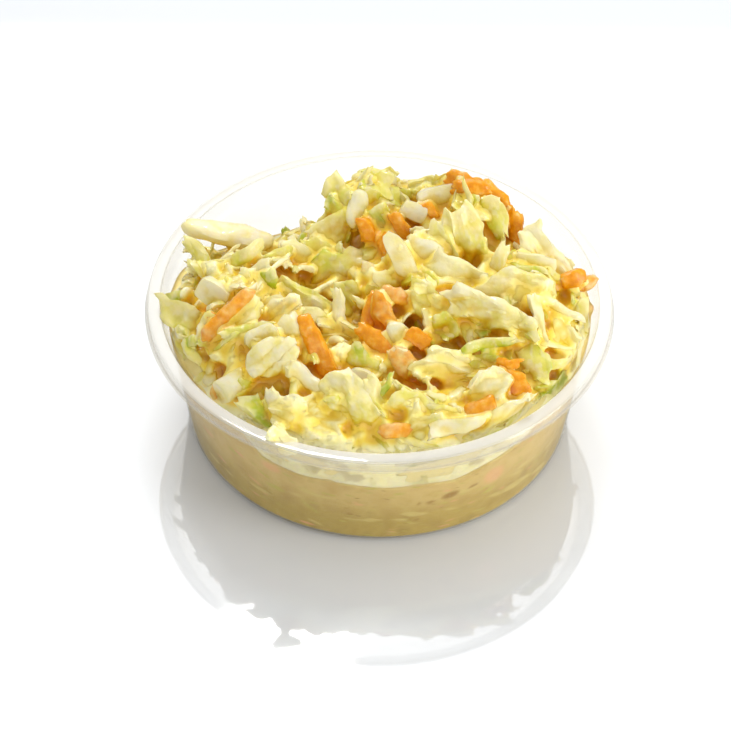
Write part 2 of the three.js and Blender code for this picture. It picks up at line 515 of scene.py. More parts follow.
@dataclass(frozen=True)
class ClearPolypropylene:
    """Thin clear polypropylene, injection moulded and polished: nearly invisible face on.

    The eye gets a faint milky haze, thin warm-grey lines where the wall is seen edge on, and mirror glints.
    """

    name: str = "clear_polypropylene"
    ior: float = 1.49
    haze: float = 0.02
    edge_haze: float = 0.15
    glare: float = 0.6
    rim_haze: float = 0.06
    rim_from_mm: float = 33.6
    rim_to_mm: float = 34.6
    flange_haze: float = 0.36
    flange_mm: float = 37.2
    tint: Stops = ((0.0, "fefefd"), (0.7, "fbf9f5"), (0.93, "e9e5d9"), (1.0, "cfc7b2"))

    def make(self) -> bpy.types.Material:
        """Builds the material.

        Returns:
            The finished material.
        """
        material, tree = new_material(self.name)
        facing = add_node(tree, "ShaderNodeLayerWeight", Blend=0.5).outputs["Facing"]
        clear_tint = ramp(tree, facing, self.tint)
        clear = add_node(tree, "ShaderNodeBsdfTransparent", Color=clear_tint).outputs["BSDF"]
        lit = add_node(tree, "ShaderNodeBsdfDiffuse", Color=linear("fdfcf7")).outputs["BSDF"]
        glowing = add_node(tree, "ShaderNodeBsdfTranslucent", Color=linear("fdfcf7")).outputs["BSDF"]
        milky = add_node(tree, "ShaderNodeMixShader", i0=0.5, i1=lit, i2=glowing).outputs["Shader"]
        edge = add_node(tree, "ShaderNodeMapRange", Value=facing, To_Min=self.haze, To_Max=self.edge_haze)
        place = add_node(tree, "ShaderNodeTexCoord").outputs["Object"]
        level = add_node(tree, "ShaderNodeSeparateXYZ", Vector=place).outputs["Z"]
        rim = window(tree, level, self.rim_from_mm * MM, self.rim_to_mm * MM)
        flange = window(tree, level, (self.flange_mm - 0.3) * MM, self.flange_mm * MM)
        thick = arithmetic(tree, "MULTIPLY", rim, self.rim_haze)
        thick = arithmetic(tree, "ADD", thick, arithmetic(tree, "MULTIPLY", flange, self.flange_haze))
        haze = arithmetic(tree, "ADD", edge.outputs["Result"], thick)
        body = add_node(tree, "ShaderNodeMixShader", i0=haze, i1=clear, i2=milky).outputs["Shader"]
        head_on = ((self.ior - 1) / (self.ior + 1)) ** 2
        steep = arithmetic(tree, "POWER", facing, 5.0)
        mirror = add_node(tree, "ShaderNodeMapRange", Value=steep, To_Min=head_on, To_Max=self.glare)
        gloss = add_node(tree, "ShaderNodeBsdfGlossy", Roughness=0.05).outputs["BSDF"]
        share = mirror.outputs["Result"]
        surface = add_node(tree, "ShaderNodeMixShader", i0=share, i1=body, i2=gloss).outputs["Shader"]
        add_node(tree, "ShaderNodeOutputMaterial", Surface=surface)
        return material


@dataclass(frozen=True)
class WhiteAcrylicSheet:
    """Glossy white acrylic sheet, cast: a bright floor with a soft mirror image of what stands on it."""

    name: str = "white_acrylic_sheet"

    def make(self) -> bpy.types.Material:
        """Builds the material.

        Returns:
            The finished material.
        """
        material, tree = new_material(self.name)
        white = linear("d7dade")
        sheet = add_node(tree, "ShaderNodeBsdfPrincipled", Base_Color=white, Roughness=0.04, IOR=1.9)
        add_node(tree, "ShaderNodeOutputMaterial", Surface=sheet.outputs["BSDF"])
        return material


# ---------------------------------------------------------------- meshes


@dataclass
class Soup:
    """Meshes gathered into one: vertices in millimetres, quads and per-vertex numbers."""

    points: list[Array] = field(default_factory=list)
    quads: list[Array] = field(default_factory=list)
    tints: list[Array] = field(default_factory=list)
    count: int = 0

    def add(self, points: Array, quads: Array, tints: Array) -> None:
        """Adds one piece.

        Args:
            points: Its vertices.
            quads: Its faces, numbered from 0.
            tints: How green it is and how creamy, for each vertex.
        """
        self.quads.append(quads + self.count)
        self.points.append(points)
        self.tints.append(tints)
        self.count += len(points)

    def joined(self) -> tuple[Array, Array, Array]:
        """Returns all vertices, all quads and all tints as single arrays."""
        return np.concatenate(self.points), np.concatenate(self.quads), np.concatenate(self.tints)


def without(points: Array, faces: Array, hidden: Array) -> tuple[Array, Array, Array]:
    """Leaves out faces whose corners are all hidden, and the points that no face needs then.

    Args:
        points: Vertices, N by 3.
        faces: Vertex numbers.
        hidden: For each vertex, True if it can't be seen.

    Returns:
        The kept vertices, the faces with new numbers, and the old numbers of the kept vertices.
    """
    kept = faces[~hidden[faces].all(axis=1)]
    used, renumbered = np.unique(kept, return_inverse=True)
    return points[used], renumbered.reshape(kept.shape), used


def ring_quads(rings: int, sectors: int) -> Array:
    """Joins rings of vertices, each to the next.

    Args:
        rings: How many rings there are.
        sectors: How many vertices each has.

    Returns:
        The quads between them.
    """
    ring = np.arange(sectors)
    faces = []
    for j in range(rings - 1):
        a, b = ring + j * sectors, np.roll(ring, -1) + j * sectors
        faces.append(np.stack([a, b, b + sectors, a + sectors], axis=1))
    return np.concatenate(faces)


def mesh_object(
    name: str, points_mm: Array, faces: Array, material: bpy.types.Material, crisp: float | None = None
) -> bpy.types.Object:
    """Makes a smooth-shaded mesh object.

    Args:
        name: The piece's name.
        points_mm: Vertices in millimetres.
        faces: Quads, or triangles, as an array of vertex numbers.
        material: Its finish.
        crisp: The angle in degrees over which an edge stays sharp, or None for none.

    Returns:
        The linked object.
    """
    mesh = bpy.data.meshes.new(name)
    sides = faces.shape[1]
    mesh.vertices.add(len(points_mm))
    mesh.vertices.foreach_set("co", (points_mm * MM).astype(np.float32).ravel())
    mesh.loops.add(faces.size)
    mesh.loops.foreach_set("vertex_index", faces.astype(np.int32).ravel())
    mesh.polygons.add(len(faces))
    mesh.polygons.foreach_set("loop_start", np.arange(0, faces.size, sides, dtype=np.int32))
    mesh.update(calc_edges=True)
    mesh.validate()
    mesh.shade_smooth()
    if crisp:
        mesh.set_sharp_from_angle(angle=math.radians(crisp))
    mesh.materials.append(material)
    thing = bpy.data.objects.new(name, mesh)
    bpy.context.scene.collection.objects.link(thing)
    return thing


def set_numbers(thing: bpy.types.Object, **numbers: Array) -> None:
    """Stores numbers on each vertex, for the finish to read.

    Args:
        thing: The mesh object.
        **numbers: One number for each vertex, by the attribute's name.
    """
    for name, values in numbers.items():
        layer = thing.data.attributes.new(name, "FLOAT", "POINT")
        layer.data.foreach_set("value", values.astype(np.float32))


# ---------------------------------------------------------------- the heap


# How high the slaw is pressed on the clear wall at the front: bearing in degrees, height in millimetres.
TOUCH_LINE = ((222, 40), (231, 29), (238, 22.8), (255, 22.4), (292, 21), (300, 23.6), (316, 26), (332, 40))


class Heap:
    """The outline that the shreds follow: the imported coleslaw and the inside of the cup's wall."""

    def __init__(self) -> None:
        """Reads both from the frame."""
        self.slaw = self._tree("coleslaw")
        self.cup = self._tree("cup")
        self.rim_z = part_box("cup")[1][2] / MM
        self.heights = self._height_map()
        self.radii = self._wall_radii()
        self.levels = np.array([min(self._wall_level(b), self._touch(b)) for b in range(0, 360, 3)])

    @staticmethod
    def _tree(node: str) -> BVHTree:
        """Makes a search tree of a CAD node's faces.

        Args:
            node: The node's name.

        Returns:
            The tree, in millimetres.
        """
        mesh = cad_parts[node].data
        corners = [vertex.co / MM for vertex in mesh.vertices]
        return BVHTree.FromPolygons(corners, [tuple(face.vertices) for face in mesh.polygons])

    def _height_map(self) -> Array:
        """Measures the heap's height on a 1 mm grid, without the rib that sticks out over the rim.

        Returns:
            Heights in millimetres, from -60 to 60 mm along X and Y.
        """
        heights = np.zeros((121, 121))
        for i in range(121):
            for j in range(121):
                hit = self.slaw.ray_cast(Vector((i - 60.0, j - 60.0, 100.0)), Vector((0, 0, -1)))
                heights[i, j] = hit[0].z if hit[0] is not None else 0.0
        x, y = np.meshgrid(np.arange(-60.0, 61.0), np.arange(-60.0, 61.0), indexing="ij")
        under_rib = (x < -27) & (np.abs(y - 14.5 + 0.13 * (x + 24)) < 8)
        return np.where(under_rib, np.minimum(heights, 38.5), heights)

    def height(self, x: float, y: float) -> float:
        """Returns the heap's height in millimetres at a place, 0 outside it."""
        return float(self.sample(self.heights, np.array([x]), np.array([y]))[0])

    @staticmethod
    def sample(grid: Array, x: Array, y: Array) -> Array:
        """Reads a 1 mm grid between its points.

        Args:
            grid: Values on the grid from -60 to 60 mm.
            x: Places along X, in millimetres.
            y: Places along Y, in millimetres.

        Returns:
            One value for each place.
        """
        i = np.clip(x + 60, 0, 119.99)
        j = np.clip(y + 60, 0, 119.99)
        a, b = i.astype(int), j.astype(int)
        s, t = i - a, j - b
        low = grid[a, b] * (1 - t) + grid[a, b + 1] * t
        high = grid[a + 1, b] * (1 - t) + grid[a + 1, b + 1] * t
        return low * (1 - s) + high * s

    def normal(self, x: float, y: float, reach: float = 4.0) -> Vector:
        """The heap's mean slope about a place, as a unit vector.

        Args:
            x: Place along X, in millimetres.
            y: Place along Y, in millimetres.
            reach: How far to each side the slope is measured.

        Returns:
            The upward normal.
        """
        shift = 1 - min(1.0, 3.0 / (math.hypot(x, y) + 1e-6)) if math.hypot(x, y) > 46 else 1.0
        x, y = x * shift, y * shift
        dx = (self.height(x + reach, y) - self.height(x - reach, y)) / (2 * reach)
        dy = (self.height(x, y + reach) - self.height(x, y - reach)) / (2 * reach)
        dx, dy = max(-1.6, min(1.6, dx)), max(-1.6, min(1.6, dy))
        return Vector((-dx, -dy, 1.0)).normalized()

    def _wall_radii(self) -> Array:
        """Measures the inside radius of the cup's wall.

        Returns:
            Radii in millimetres, every 0.5 mm from 1.3 mm up.
        """
        radii = []
        for level in np.arange(1.3, self.rim_z - 0.5, 0.5):
            hit = self.cup.ray_cast(Vector((0.0, 0.0, level)), Vector((1, 0, 0)))
            radii.append(hit[0].x)
        return np.array(radii)

    def wall_radius(self, z: Array) -> Array:
        """The inside radius of the cup's wall, which stays wide open above the rim.

        Args:
            z: Heights in millimetres.

        Returns:
            Radii in millimetres.
        """
        return np.interp(z, 1.3 + 0.5 * np.arange(len(self.radii)), self.radii)

    def kept_inside(self, points: Array) -> Array:
        """Moves what reaches into the wall under the ledge back to the wall's inside face.

        Args:
            points: Places, N by 3, in millimetres.

        Returns:
            The same places, none of them in the wall.
        """
        radius = np.maximum(np.hypot(points[:, 0], points[:, 1]), 1e-6)
        most = np.where(points[:, 2] < self.rim_z - 4.5, self.wall_radius(points[:, 2]), np.inf)
        shrink = np.minimum(1.0, most / radius)
        return np.column_stack([points[:, :2] * shrink[:, None], points[:, 2]])

    @staticmethod
    def _touch(bearing: float) -> float:
        """Returns how high the slaw is pressed on the wall at the front, 40 where it isn't looser."""
        return float(np.interp(bearing, [b for b, _ in TOUCH_LINE], [z for _, z in TOUCH_LINE]))

    def _wall_level(self, bearing: float) -> float:
        """How high the heap touches the wall in one direction.

        Args:
            bearing: Degrees from +X towards +Y.

        Returns:
            The height in millimetres.
        """
        out = Vector((math.cos(math.radians(bearing)), math.sin(math.radians(bearing)), 0))
        level = 4.0
        for z in np.arange(4.0, 37.0, 0.5):
            hit = self.slaw.ray_cast(out * 80 + Vector((0, 0, z)), -out)
            if hit[0] is None or hit[0].xy.length < self.wall_radius(np.array([z]))[0] - 0.6:
                break
            level = float(z)
        return level

    def wall_level(self, x: Array, y: Array) -> Array:
        """How high the heap touches the wall, in the directions of some places.

        Args:
            x: Places along X.
            y: Places along Y.

        Returns:
            Heights in millimetres.
        """
        bearing = np.degrees(np.arctan2(y, x)) % 360
        return np.interp(bearing, np.arange(0, 361, 3), np.append(self.levels, self.levels[0]))


# ---------------------------------------------------------------- shreds


class Cut(Enum):
    """The kinds of piece that the chopping leaves."""

    LEAF = "leaf"
    BIT = "bit"
    STRIP = "strip"
    RIB = "rib"
    STICK = "stick"
    RIBBON = "ribbon"


@dataclass(frozen=True)
class Shred:
    """One piece of cabbage or carrot: its size, its form and how it lies. Millimetres and degrees."""

    cut: Cut
    length: float
    width: float
    thick: float
    bend: float = 0.0
    cross_bend: float = 0.0
    twist: float = 0.0
    crumple: float = 0.0
    ruffle: float = 0.0
    veins: float = 0.0
    ragged: float = 0.0
    boxy: float = 2.0
    round: float = 0.6
    taper: float = 0.0
    slant: float = 0.0
    green: float = 0.2
    green_edge: float = 0.0
    green_end: float = 0.0
    cream: float = 0.5
    steps: tuple[int, int] = (13, 11)

    def build(self, rng: np.random.Generator) -> tuple[Array, Array, Array]:
        """Builds the piece lying flat, with its length along X.

        Args:
            rng: The source of its unevenness.

        Returns:
            Vertices, quads, and the greenness and creaminess at each vertex.
        """
        along, across = self.steps
        u = np.linspace(-1, 1, along)
        v = np.linspace(-1, 1, across)
        if self.boxy > 3:
            u = np.sin(u * math.pi / 2) * 0.6 + u * 0.4
            v = np.sin(v * math.pi / 2) * 0.6 + v * 0.4
        uu, vv = np.meshgrid(u, v, indexing="ij")
        middle = self._middle(uu, vv, rng)
        du = np.gradient(middle, axis=0)
        dv = np.gradient(middle, axis=1)
        normal = np.cross(du, dv)
        normal /= np.linalg.norm(normal, axis=2, keepdims=True) + 1e-9
        power = self.boxy
        full = ((1 - np.abs(uu) ** (power * 2)) * (1 - np.abs(vv) ** power)) ** (1 / power)
        full = np.nan_to_num(full)[..., None]
        uneven = 1 + 0.18 * self._waves(uu, vv, rng, 6.0)[..., None]
        uneven = uneven * (1 - self.taper * (1 + uu[..., None]) / 3)
        top = middle + normal * full * uneven * self.thick / 2
        bottom = middle - normal * full * uneven * self.thick / 2
        points = np.concatenate([top.reshape(-1, 3), bottom[1:-1, 1:-1].reshape(-1, 3)])
        quads = self._quads()
        green = self.green + self.green_edge * vv + self.green_end * uu
        green = green + 0.08 * self._waves(uu, vv, rng, 5.0)
        green = np.concatenate([green.ravel(), green[1:-1, 1:-1].ravel()])
        tints = np.stack([green, np.full_like(green, self.cream)], axis=1)
        return points, quads, np.clip(tints, 0, 1)

    def _waves(self, uu: Array, vv: Array, rng: np.random.Generator, pitch: float) -> Array:
        """Runs random long waves over the piece.

        Args:
            uu: Places along it, from -1 to 1.
            vv: Places across it, from -1 to 1.
            rng: The source of their directions.
            pitch: About how many millimetres they are apart.

        Returns:
            Heights from -1 to 1.
        """
        x = uu * self.length / 2
        y = vv * self.width / 2
        total = np.zeros_like(uu)
        for _ in range(4):
            turn = rng.uniform(0, math.tau)
            k = math.tau / (pitch * rng.uniform(0.8, 1.6))
            total += np.sin(k * (x * math.cos(turn) + y * math.sin(turn)) + rng.uniform(0, math.tau))
        return total / 4

    def _middle(self, uu: Array, vv: Array, rng: np.random.Generator) -> Array:
        """Shapes the sheet half way through the piece's thickness, bent and crumpled.

        Args:
            uu: Places along it, from -1 to 1.
            vv: Places across it, from -1 to 1.
            rng: The source of its unevenness.

        Returns:
            Places in millimetres, one for each of uu and vv.
        """
        x = uu * np.sqrt(1 - self.round * vv**2 / 2) * self.length / 2
        y = vv * np.sqrt(1 - self.round * uu**2 / 2) * (1 - self.taper * (1 + uu) / 2) * self.width / 2
        if self.ragged:
            side = [self._edge(uu[:, 0], rng) for _ in range(2)]
            end = [self._edge(vv[0, :], rng) for _ in range(2)]
            y = y * (1 + np.where(vv > 0, side[0][:, None], side[1][:, None]) * np.abs(vv))
            x = x * (1 + np.where(uu > 0, end[0][None, :], end[1][None, :]) * np.abs(uu))
        x = x + self.slant * y
        soft = self._waves(uu, vv, rng, 9.0)
        lift = self.crumple * (soft + 1 - 2 * np.abs(self._waves(uu, vv, rng, 12.0)))
        if self.veins:
            pitch = rng.uniform(2.4, 3.4)
            run = y + rng.uniform(-0.5, 0.5) * x + 0.5 * self._waves(uu, vv, rng, 8.0)
            lift += self.veins * (1 - 2 * np.abs(np.sin(math.pi * run / pitch)))
        lift += self.ruffle * np.maximum(np.abs(uu), np.abs(vv)) ** 2 * self._waves(uu, vv, rng, 6.0)
        angle = math.radians(self.twist) * uu
        y, lift = y * np.cos(angle) - lift * np.sin(angle), y * np.sin(angle) + lift * np.cos(angle)
        x, lift = self._bent(x, lift, math.radians(self.bend) / self.length)
        y, lift = self._bent(y, lift, math.radians(self.cross_bend) / self.width)
        return np.stack([x, y, lift], axis=2)

    def _edge(self, along: Array, rng: np.random.Generator) -> Array:
        """Tears an edge: random steps along it, with the corners eased.

        Args:
            along: Places along the edge, from -1 to 1.
            rng: The source of the steps.

        Returns:
            How far out each place is moved, as a share of its distance from the middle.
        """
        knots = rng.uniform(-1, 0.4, 7) * self.ragged
        fine = rng.uniform(-0.5, 0.5, len(along)) * self.ragged * 0.2
        return np.interp(along, np.linspace(-1, 1, 7), knots) + fine

    @staticmethod
    def _bent(run: Array, lift: Array, curve: float) -> tuple[Array, Array]:
        """Bends a sheet about an axis above it.

        Args:
            run: Distance along the sheet.
            lift: Height over the sheet.
            curve: Radians of bend for each millimetre of run. Positive ends go down.

        Returns:
            The bent distance and height.
        """
        if abs(curve) < 1e-4:
            return run, lift
        radius = 1 / curve
        return np.sin(run * curve) * (radius + lift), np.cos(run * curve) * (radius + lift) - radius

    def _quads(self) -> Array:
        """Numbers the faces of both sides, which share the vertices round the piece's edge.

        Returns:
            The quads.
        """
        along, across = self.steps
        top = np.arange(along * across).reshape(along, across)
        bottom = top.copy()
        inner = (along - 2, across - 2)
        bottom[1:-1, 1:-1] = along * across + np.arange(inner[0] * inner[1]).reshape(inner)
        faces = []
        for sheet, flip in ((top, False), (bottom, True)):
            a, b, c, d = sheet[:-1, :-1], sheet[1:, :-1], sheet[1:, 1:], sheet[:-1, 1:]
            ring = (a, d, c, b) if flip else (a, b, c, d)
            faces.append(np.stack([corner.ravel() for corner in ring], axis=1))
        return np.concatenate(faces)


@dataclass(frozen=True)
class Lie:
    """Where one shred lies on the heap. Millimetres and degrees.

    x and y are its middle. lift is how far that is above the heap's outline, unless height gives it. face is
    where its flat side looks, along the slope's normal if it isn't given. heading turns it about that, pitch
    lifts its far end and roll lifts its left side.
    """

    x: float
    y: float
    lift: float = 0.0
    heading: float = 0.0
    pitch: float = 0.0
    roll: float = 0.0
    face: tuple[float, float, float] | None = None
    height: float | None = None

    def matrix(self, heap: Heap) -> tuple[Array, Array]:
        """Works out the piece's turn and place.

        Args:
            heap: The outline it lies on.

        Returns:
            A 3 by 3 rotation and the middle's place in millimetres.
        """
        up = heap.normal(self.x, self.y)
        middle = np.array([self.x, self.y, heap.height(self.x, self.y)]) + np.array(up) * self.lift
        if self.height is not None:
            middle = np.array([self.x, self.y, self.height])
        up = Vector(self.face).normalized() if self.face else up
        turn = Vector((0, 0, 1)).rotation_difference(up).to_matrix()
        spin = Matrix.Rotation(math.radians(self.heading), 3, "Z")
        lifted = Matrix.Rotation(math.radians(-self.pitch), 3, "Y")
        rolled = Matrix.Rotation(math.radians(self.roll), 3, "X")
        return np.array(turn @ spin @ (lifted @ rolled)), middle


# Radians from one scattered shred to the next, as in a sunflower's head, which spreads them evenly.
SEED_HEAD_TURN = 2.399963
CARROT = (Cut.STICK, Cut.RIBBON)
PIECE_NAMES = {
    Cut.LEAF: "cabbage_leaves",
    Cut.BIT: "cabbage_bits",
    Cut.STRIP: "cabbage_shreds",
    Cut.RIB: "cabbage_rib_chunks",
    Cut.STICK: "carrot_sticks",
    Cut.RIBBON: "carrot_curls",
}


# How each cut comes off the knife, in millimetres and degrees: a measure as it is, or its lowest and highest,
# with a mean and a spread as well where most pieces are alike. The draws follow this order.
CHOPPED: dict[Cut, dict[str, Any]] = {
    Cut.LEAF: {
        "length": (8, 15), "width": (6, 10), "thick": (0.8, 1.2),
        "bend": (-30, 70), "cross_bend": (-50, 60), "twist": (-20, 20),
        "crumple": (0.4, 0.9), "ruffle": (0.4, 1.0), "veins": (0.1, 0.5), "ragged": (0.18, 0.36),
        "boxy": 4.0, "round": (0.2, 0.8), "taper": (0.0, 0.4), "slant": (-0.4, 0.4),
        "green": (0.0, 0.95, 0.48, 0.25), "green_edge": (-0.2, 0.2), "green_end": (-0.2, 0.2),
        "cream": (0.0, 0.9),
    },
    Cut.STRIP: {
        "length": (10, 20), "width": (2.4, 4.4), "thick": (1.2, 2.0),
        "bend": (-50, 90), "cross_bend": (-30, 40), "twist": (-50, 50),
        "crumple": (0.2, 0.6), "ruffle": (0.0, 0.4), "veins": (0.0, 0.25), "ragged": (0.1, 0.25),
        "boxy": 3.0, "taper": (0.0, 0.5), "slant": (-0.6, 0.6),
        "green": (0.0, 0.95, 0.36, 0.25), "green_edge": (-0.1, 0.1), "green_end": (-0.15, 0.15),
        "cream": (0.0, 0.9),
    },
    Cut.BIT: {
        "length": (3, 7), "width": (2.2, 4.5), "thick": (1.0, 2.0),
        "bend": (-30, 60), "cross_bend": (-30, 60),
        "ragged": 0.3, "boxy": 3.0, "crumple": 0.3,
        "green": (0.0, 1.0, 0.35, 0.3), "cream": (0.2, 1.0),
    },
    Cut.RIB: {
        "length": (6, 11), "width": (4.5, 7.0), "thick": (2.4, 3.8),
        "bend": (-15, 30), "cross_bend": (0, 40), "twist": (-12, 12),
        "crumple": (0.0, 0.25), "ragged": (0.05, 0.2),
        "boxy": 5.0, "round": (0.2, 0.9), "slant": (-0.4, 0.4),
        "green": (0.0, 0.14), "cream": (0.0, 0.6),
    },
    Cut.STICK: {
        "length": (6, 13), "width": (2.6, 3.8), "thick": (2.0, 3.0),
        "bend": (-20, 40), "twist": (-20, 20),
        "crumple": 0.2, "ragged": 0.15, "boxy": 4.0, "slant": (-0.5, 0.5), "cream": (0.0, 0.5),
    },
    Cut.RIBBON: {
        "length": (10, 20), "width": (2.8, 4.2), "thick": (1.2, 1.8),
        "bend": (30, 110), "twist": (-40, 40),
        "crumple": 0.4, "ruffle": 0.3, "ragged": 0.25,
        "boxy": 2.5, "cream": (0.1, 0.7),
    },
}
# Rows and columns of points over a scattered piece of each cut.
STEPS = {
    Cut.LEAF: (13, 10),
    Cut.STRIP: (21, 7),
    Cut.BIT: (9, 7),
    Cut.RIB: (13, 11),
    Cut.STICK: (17, 9),
    Cut.RIBBON: (23, 7),
}


@dataclass
class Chopper:
    """Makes shreds of the usual sizes for each cut."""

    rng: np.random.Generator

    def make(self, cut: Cut) -> Shred:
        """Returns the next shred of a cut."""
        measures = {name: self._drawn(measure) for name, measure in CHOPPED[cut].items()}
        return Shred(cut, steps=STEPS[cut], **measures)

    def _drawn(self, measure: Any) -> float:
        """Draws one measure.

        Args:
            measure: A number, or bounds that may have a mean and a spread.

        Returns:
            The measure of the next piece.
        """
        if not isinstance(measure, tuple):
            return measure
        low, high, *bell = measure
        return float(np.clip(self.rng.normal(*bell), low, high)) if bell else self.rng.uniform(low, high)


# How far each cut follows the unevenness of real food: soft leaf all the way, stiff rib and carrot less.
WARP = {Cut.LEAF: 1.0, Cut.BIT: 0.8, Cut.STRIP: 0.8, Cut.RIB: 0.4, Cut.STICK: 0.4, Cut.RIBBON: 0.8}


def warp(points: Array) -> Array:
    """How the unevenness of real food shifts points from their ideal places.

    Args:
        points: Places, N by 3, in millimetres.

    Returns:
        The shifts, N by 3.
    """
    broad = [lattice_noise(points, 5.0, seed) for seed in (21, 22, 23)]
    fine = [lattice_noise(points, 2.2, seed) for seed in (24, 25, 26)]
    return 0.9 * np.stack(broad, axis=1) + 0.4 * np.stack(fine, axis=1)


# The ways that the flat sides of the shreds in view look.
FRONT = (0.0, -0.7, 0.72)
FRONT_LEFT = (-0.35, -0.65, 0.68)
FRONT_RIGHT = (0.35, -0.6, 0.7)


@dataclass(frozen=True)
class Mixed:
    """Every shred in one mesh: vertices, quads, tints, and 1 for carrot or 0 for cabbage at each vertex."""

    points: Array
    quads: Array
    tints: Array
    orange: Array


@dataclass
class Salad:
    """All the shreds that show: the larger laid one by one, and the rest scattered under and round them."""

    heap: Heap
    seed: int = 11
    leaves: int = 260
    strips: int = 130
    bits: int = 230
    ribs: int = 50
    strings: int = 60
    sticks: int = 6
    ribbons: int = 5
    clump_pitch: float = 11.0
    clump_height: float = 1.8
    wall_gap: float = 2.2
    wall_clearance: float = 0.15
    over_rim_radius: float = 57.0
    lowest: float = 3.0
    carrot_grain: float = 0.16
    heaps: dict[Cut, Soup] = field(default_factory=lambda: {cut: Soup() for cut in Cut})
    taken: list[tuple[float, float, float]] = field(default_factory=list)

    def __post_init__(self) -> None:
        """Starts the random numbers."""
        self.chopper = Chopper(np.random.default_rng(self.seed))
        self.rng = np.random.default_rng(self.seed + 1)

    def lay(self, shred: Shred, lie: Lie, free: bool = False) -> None:
        """Puts one shred on the heap and keeps it inside the cup.

        Args:
            shred: What is laid.
            lie: Where it lies.
            free: True for a piece that goes out over the rim.
        """
        points, quads, tints = shred.build(self.rng)
        turn, middle = lie.matrix(self.heap)
        points = points @ turn.T + middle
        points += WARP[shred.cut] * warp(points)
        if shred.cut in CARROT:
            grain = np.stack([lattice_noise(points, 0.9, seed) for seed in (31, 32, 33)], axis=1)
            points += self.carrot_grain * grain
        if not free:
            radius = np.hypot(points[:, 0], points[:, 1])
            above = points[:, 2] - self.heap.wall_level(points[:, 0], points[:, 1])
            gap = self.wall_clearance + self.wall_gap * smoothstep(0.0, 4.0, above)
            inside = self.heap.wall_radius(points[:, 2]) - gap
            most = np.where(points[:, 2] < self.heap.rim_z + 3, inside, self.over_rim_radius)
            over = np.maximum(radius - most, 0)
            shrink = (radius - over) / np.maximum(radius, 1e-6)
            points[:, :2] *= shrink[:, None]
            points[:, 2] = np.maximum(points[:, 2], self.lowest)
        self.heaps[shred.cut].add(points, quads, tints)

    def put(
        self,
        cut: Cut,
        place: tuple[float, float, float],
        heading: float,
        size: tuple[float, float, float],
        free: bool = False,
        face: tuple[float, float, float] | None = FRONT,
        pitch: float = 0.0,
        roll: float = 0.0,
        height: float | None = None,
        **form: float,
    ) -> None:
        """Lays one shred at a given place.

        Args:
            cut: Its kind.
            place: Its middle: X, Y and the lift over the heap's outline.
            heading: The turn of its length, from the right towards the back.
            size: Length, width and thickness.
            free: True for a piece that goes out over the rim.
            face: The way its flat side looks.
            pitch: How far its far end is lifted.
            roll: How far its left side is lifted.
            height: The height of its middle, in place of the lift.
            **form: Any other measures of the shred.
        """
        fine = 0.42 if cut in CARROT else 0.72
        steps = (max(13, int(size[0] / fine)), max(7, int(size[1] / fine)))
        length, width, thick = size
        chopped = self.chopper.make(cut)
        shred = replace(chopped, length=length, width=width, thick=thick, steps=steps, **form)
        pitch += self.rng.uniform(-7, 7)
        roll += self.rng.uniform(-12, 12)
        self.lay(shred, Lie(place[0], place[1], place[2], heading, pitch, roll, face, height), free)
        self.taken.append((place[0], place[1], (size[0] + size[1]) / 4 + 1))

    def scatter(
        self,
        cut: Cut,
        count: int,
        depth: tuple[float, float],
        tip: float,
        keep_off: bool = True,
        slim: float = 1.0,
    ) -> None:
        """Scatters shreds of one cut evenly over the heap, under those laid one by one.

        Args:
            cut: Their kind.
            count: How many.
            depth: Lowest and highest lift over the heap's outline.
            tip: How far they tip out of the slope, in degrees.
            keep_off: True to keep under the shreds that were laid one by one.
            slim: How wide they are, next to the usual.
        """
        taken = np.array(self.taken)
        for number in range(count):
            spread = math.sqrt((number + 0.5) / count)
            radius = spread * 51.0 + self.rng.uniform(-1.5, 1.5)
            bearing = number * SEED_HEAD_TURN + self.rng.uniform(-0.25, 0.25)
            x, y = radius * math.cos(bearing), radius * math.sin(bearing)
            clump = lattice_noise(np.array([[x, y, 0.0]]), self.clump_pitch, self.seed)[0]
            lift = self.rng.uniform(*depth) + self.clump_height * clump - 2.0 * smoothstep(10.0, 24.0, y)
            covered = keep_off and bool(np.any(np.hypot(taken[:, 0] - x, taken[:, 1] - y) < taken[:, 2]))
            lie = Lie(
                x=x,
                y=y,
                lift=min(lift, -3.4) if covered else lift,
                heading=self.rng.uniform(0, 360),
                pitch=self.rng.normal(0, tip * (0.5 if covered else 1)),
                roll=self.rng.normal(0, tip * (0.5 if covered else 1)),
            )
            shred = self.chopper.make(cut)
            self.lay(replace(shred, width=shred.width * slim, thick=shred.thick * (0.4 + 0.6 * slim)), lie)

    def everything(self) -> Mixed:
        """Joins all the shreds.

        Returns:
            One mesh, with what each vertex is.
        """
        points, quads, tints, orange, start = [], [], [], [], 0
        for cut, soup in self.heaps.items():
            some_points, some_quads, some_tints = soup.joined()
            points.append(some_points)
            quads.append(some_quads + start)
            tints.append(some_tints)
            orange.append(np.full(len(some_points), float(cut in CARROT)))
            start += len(some_points)
        return Mixed(*(np.concatenate(parts) for parts in (points, quads, tints, orange)))

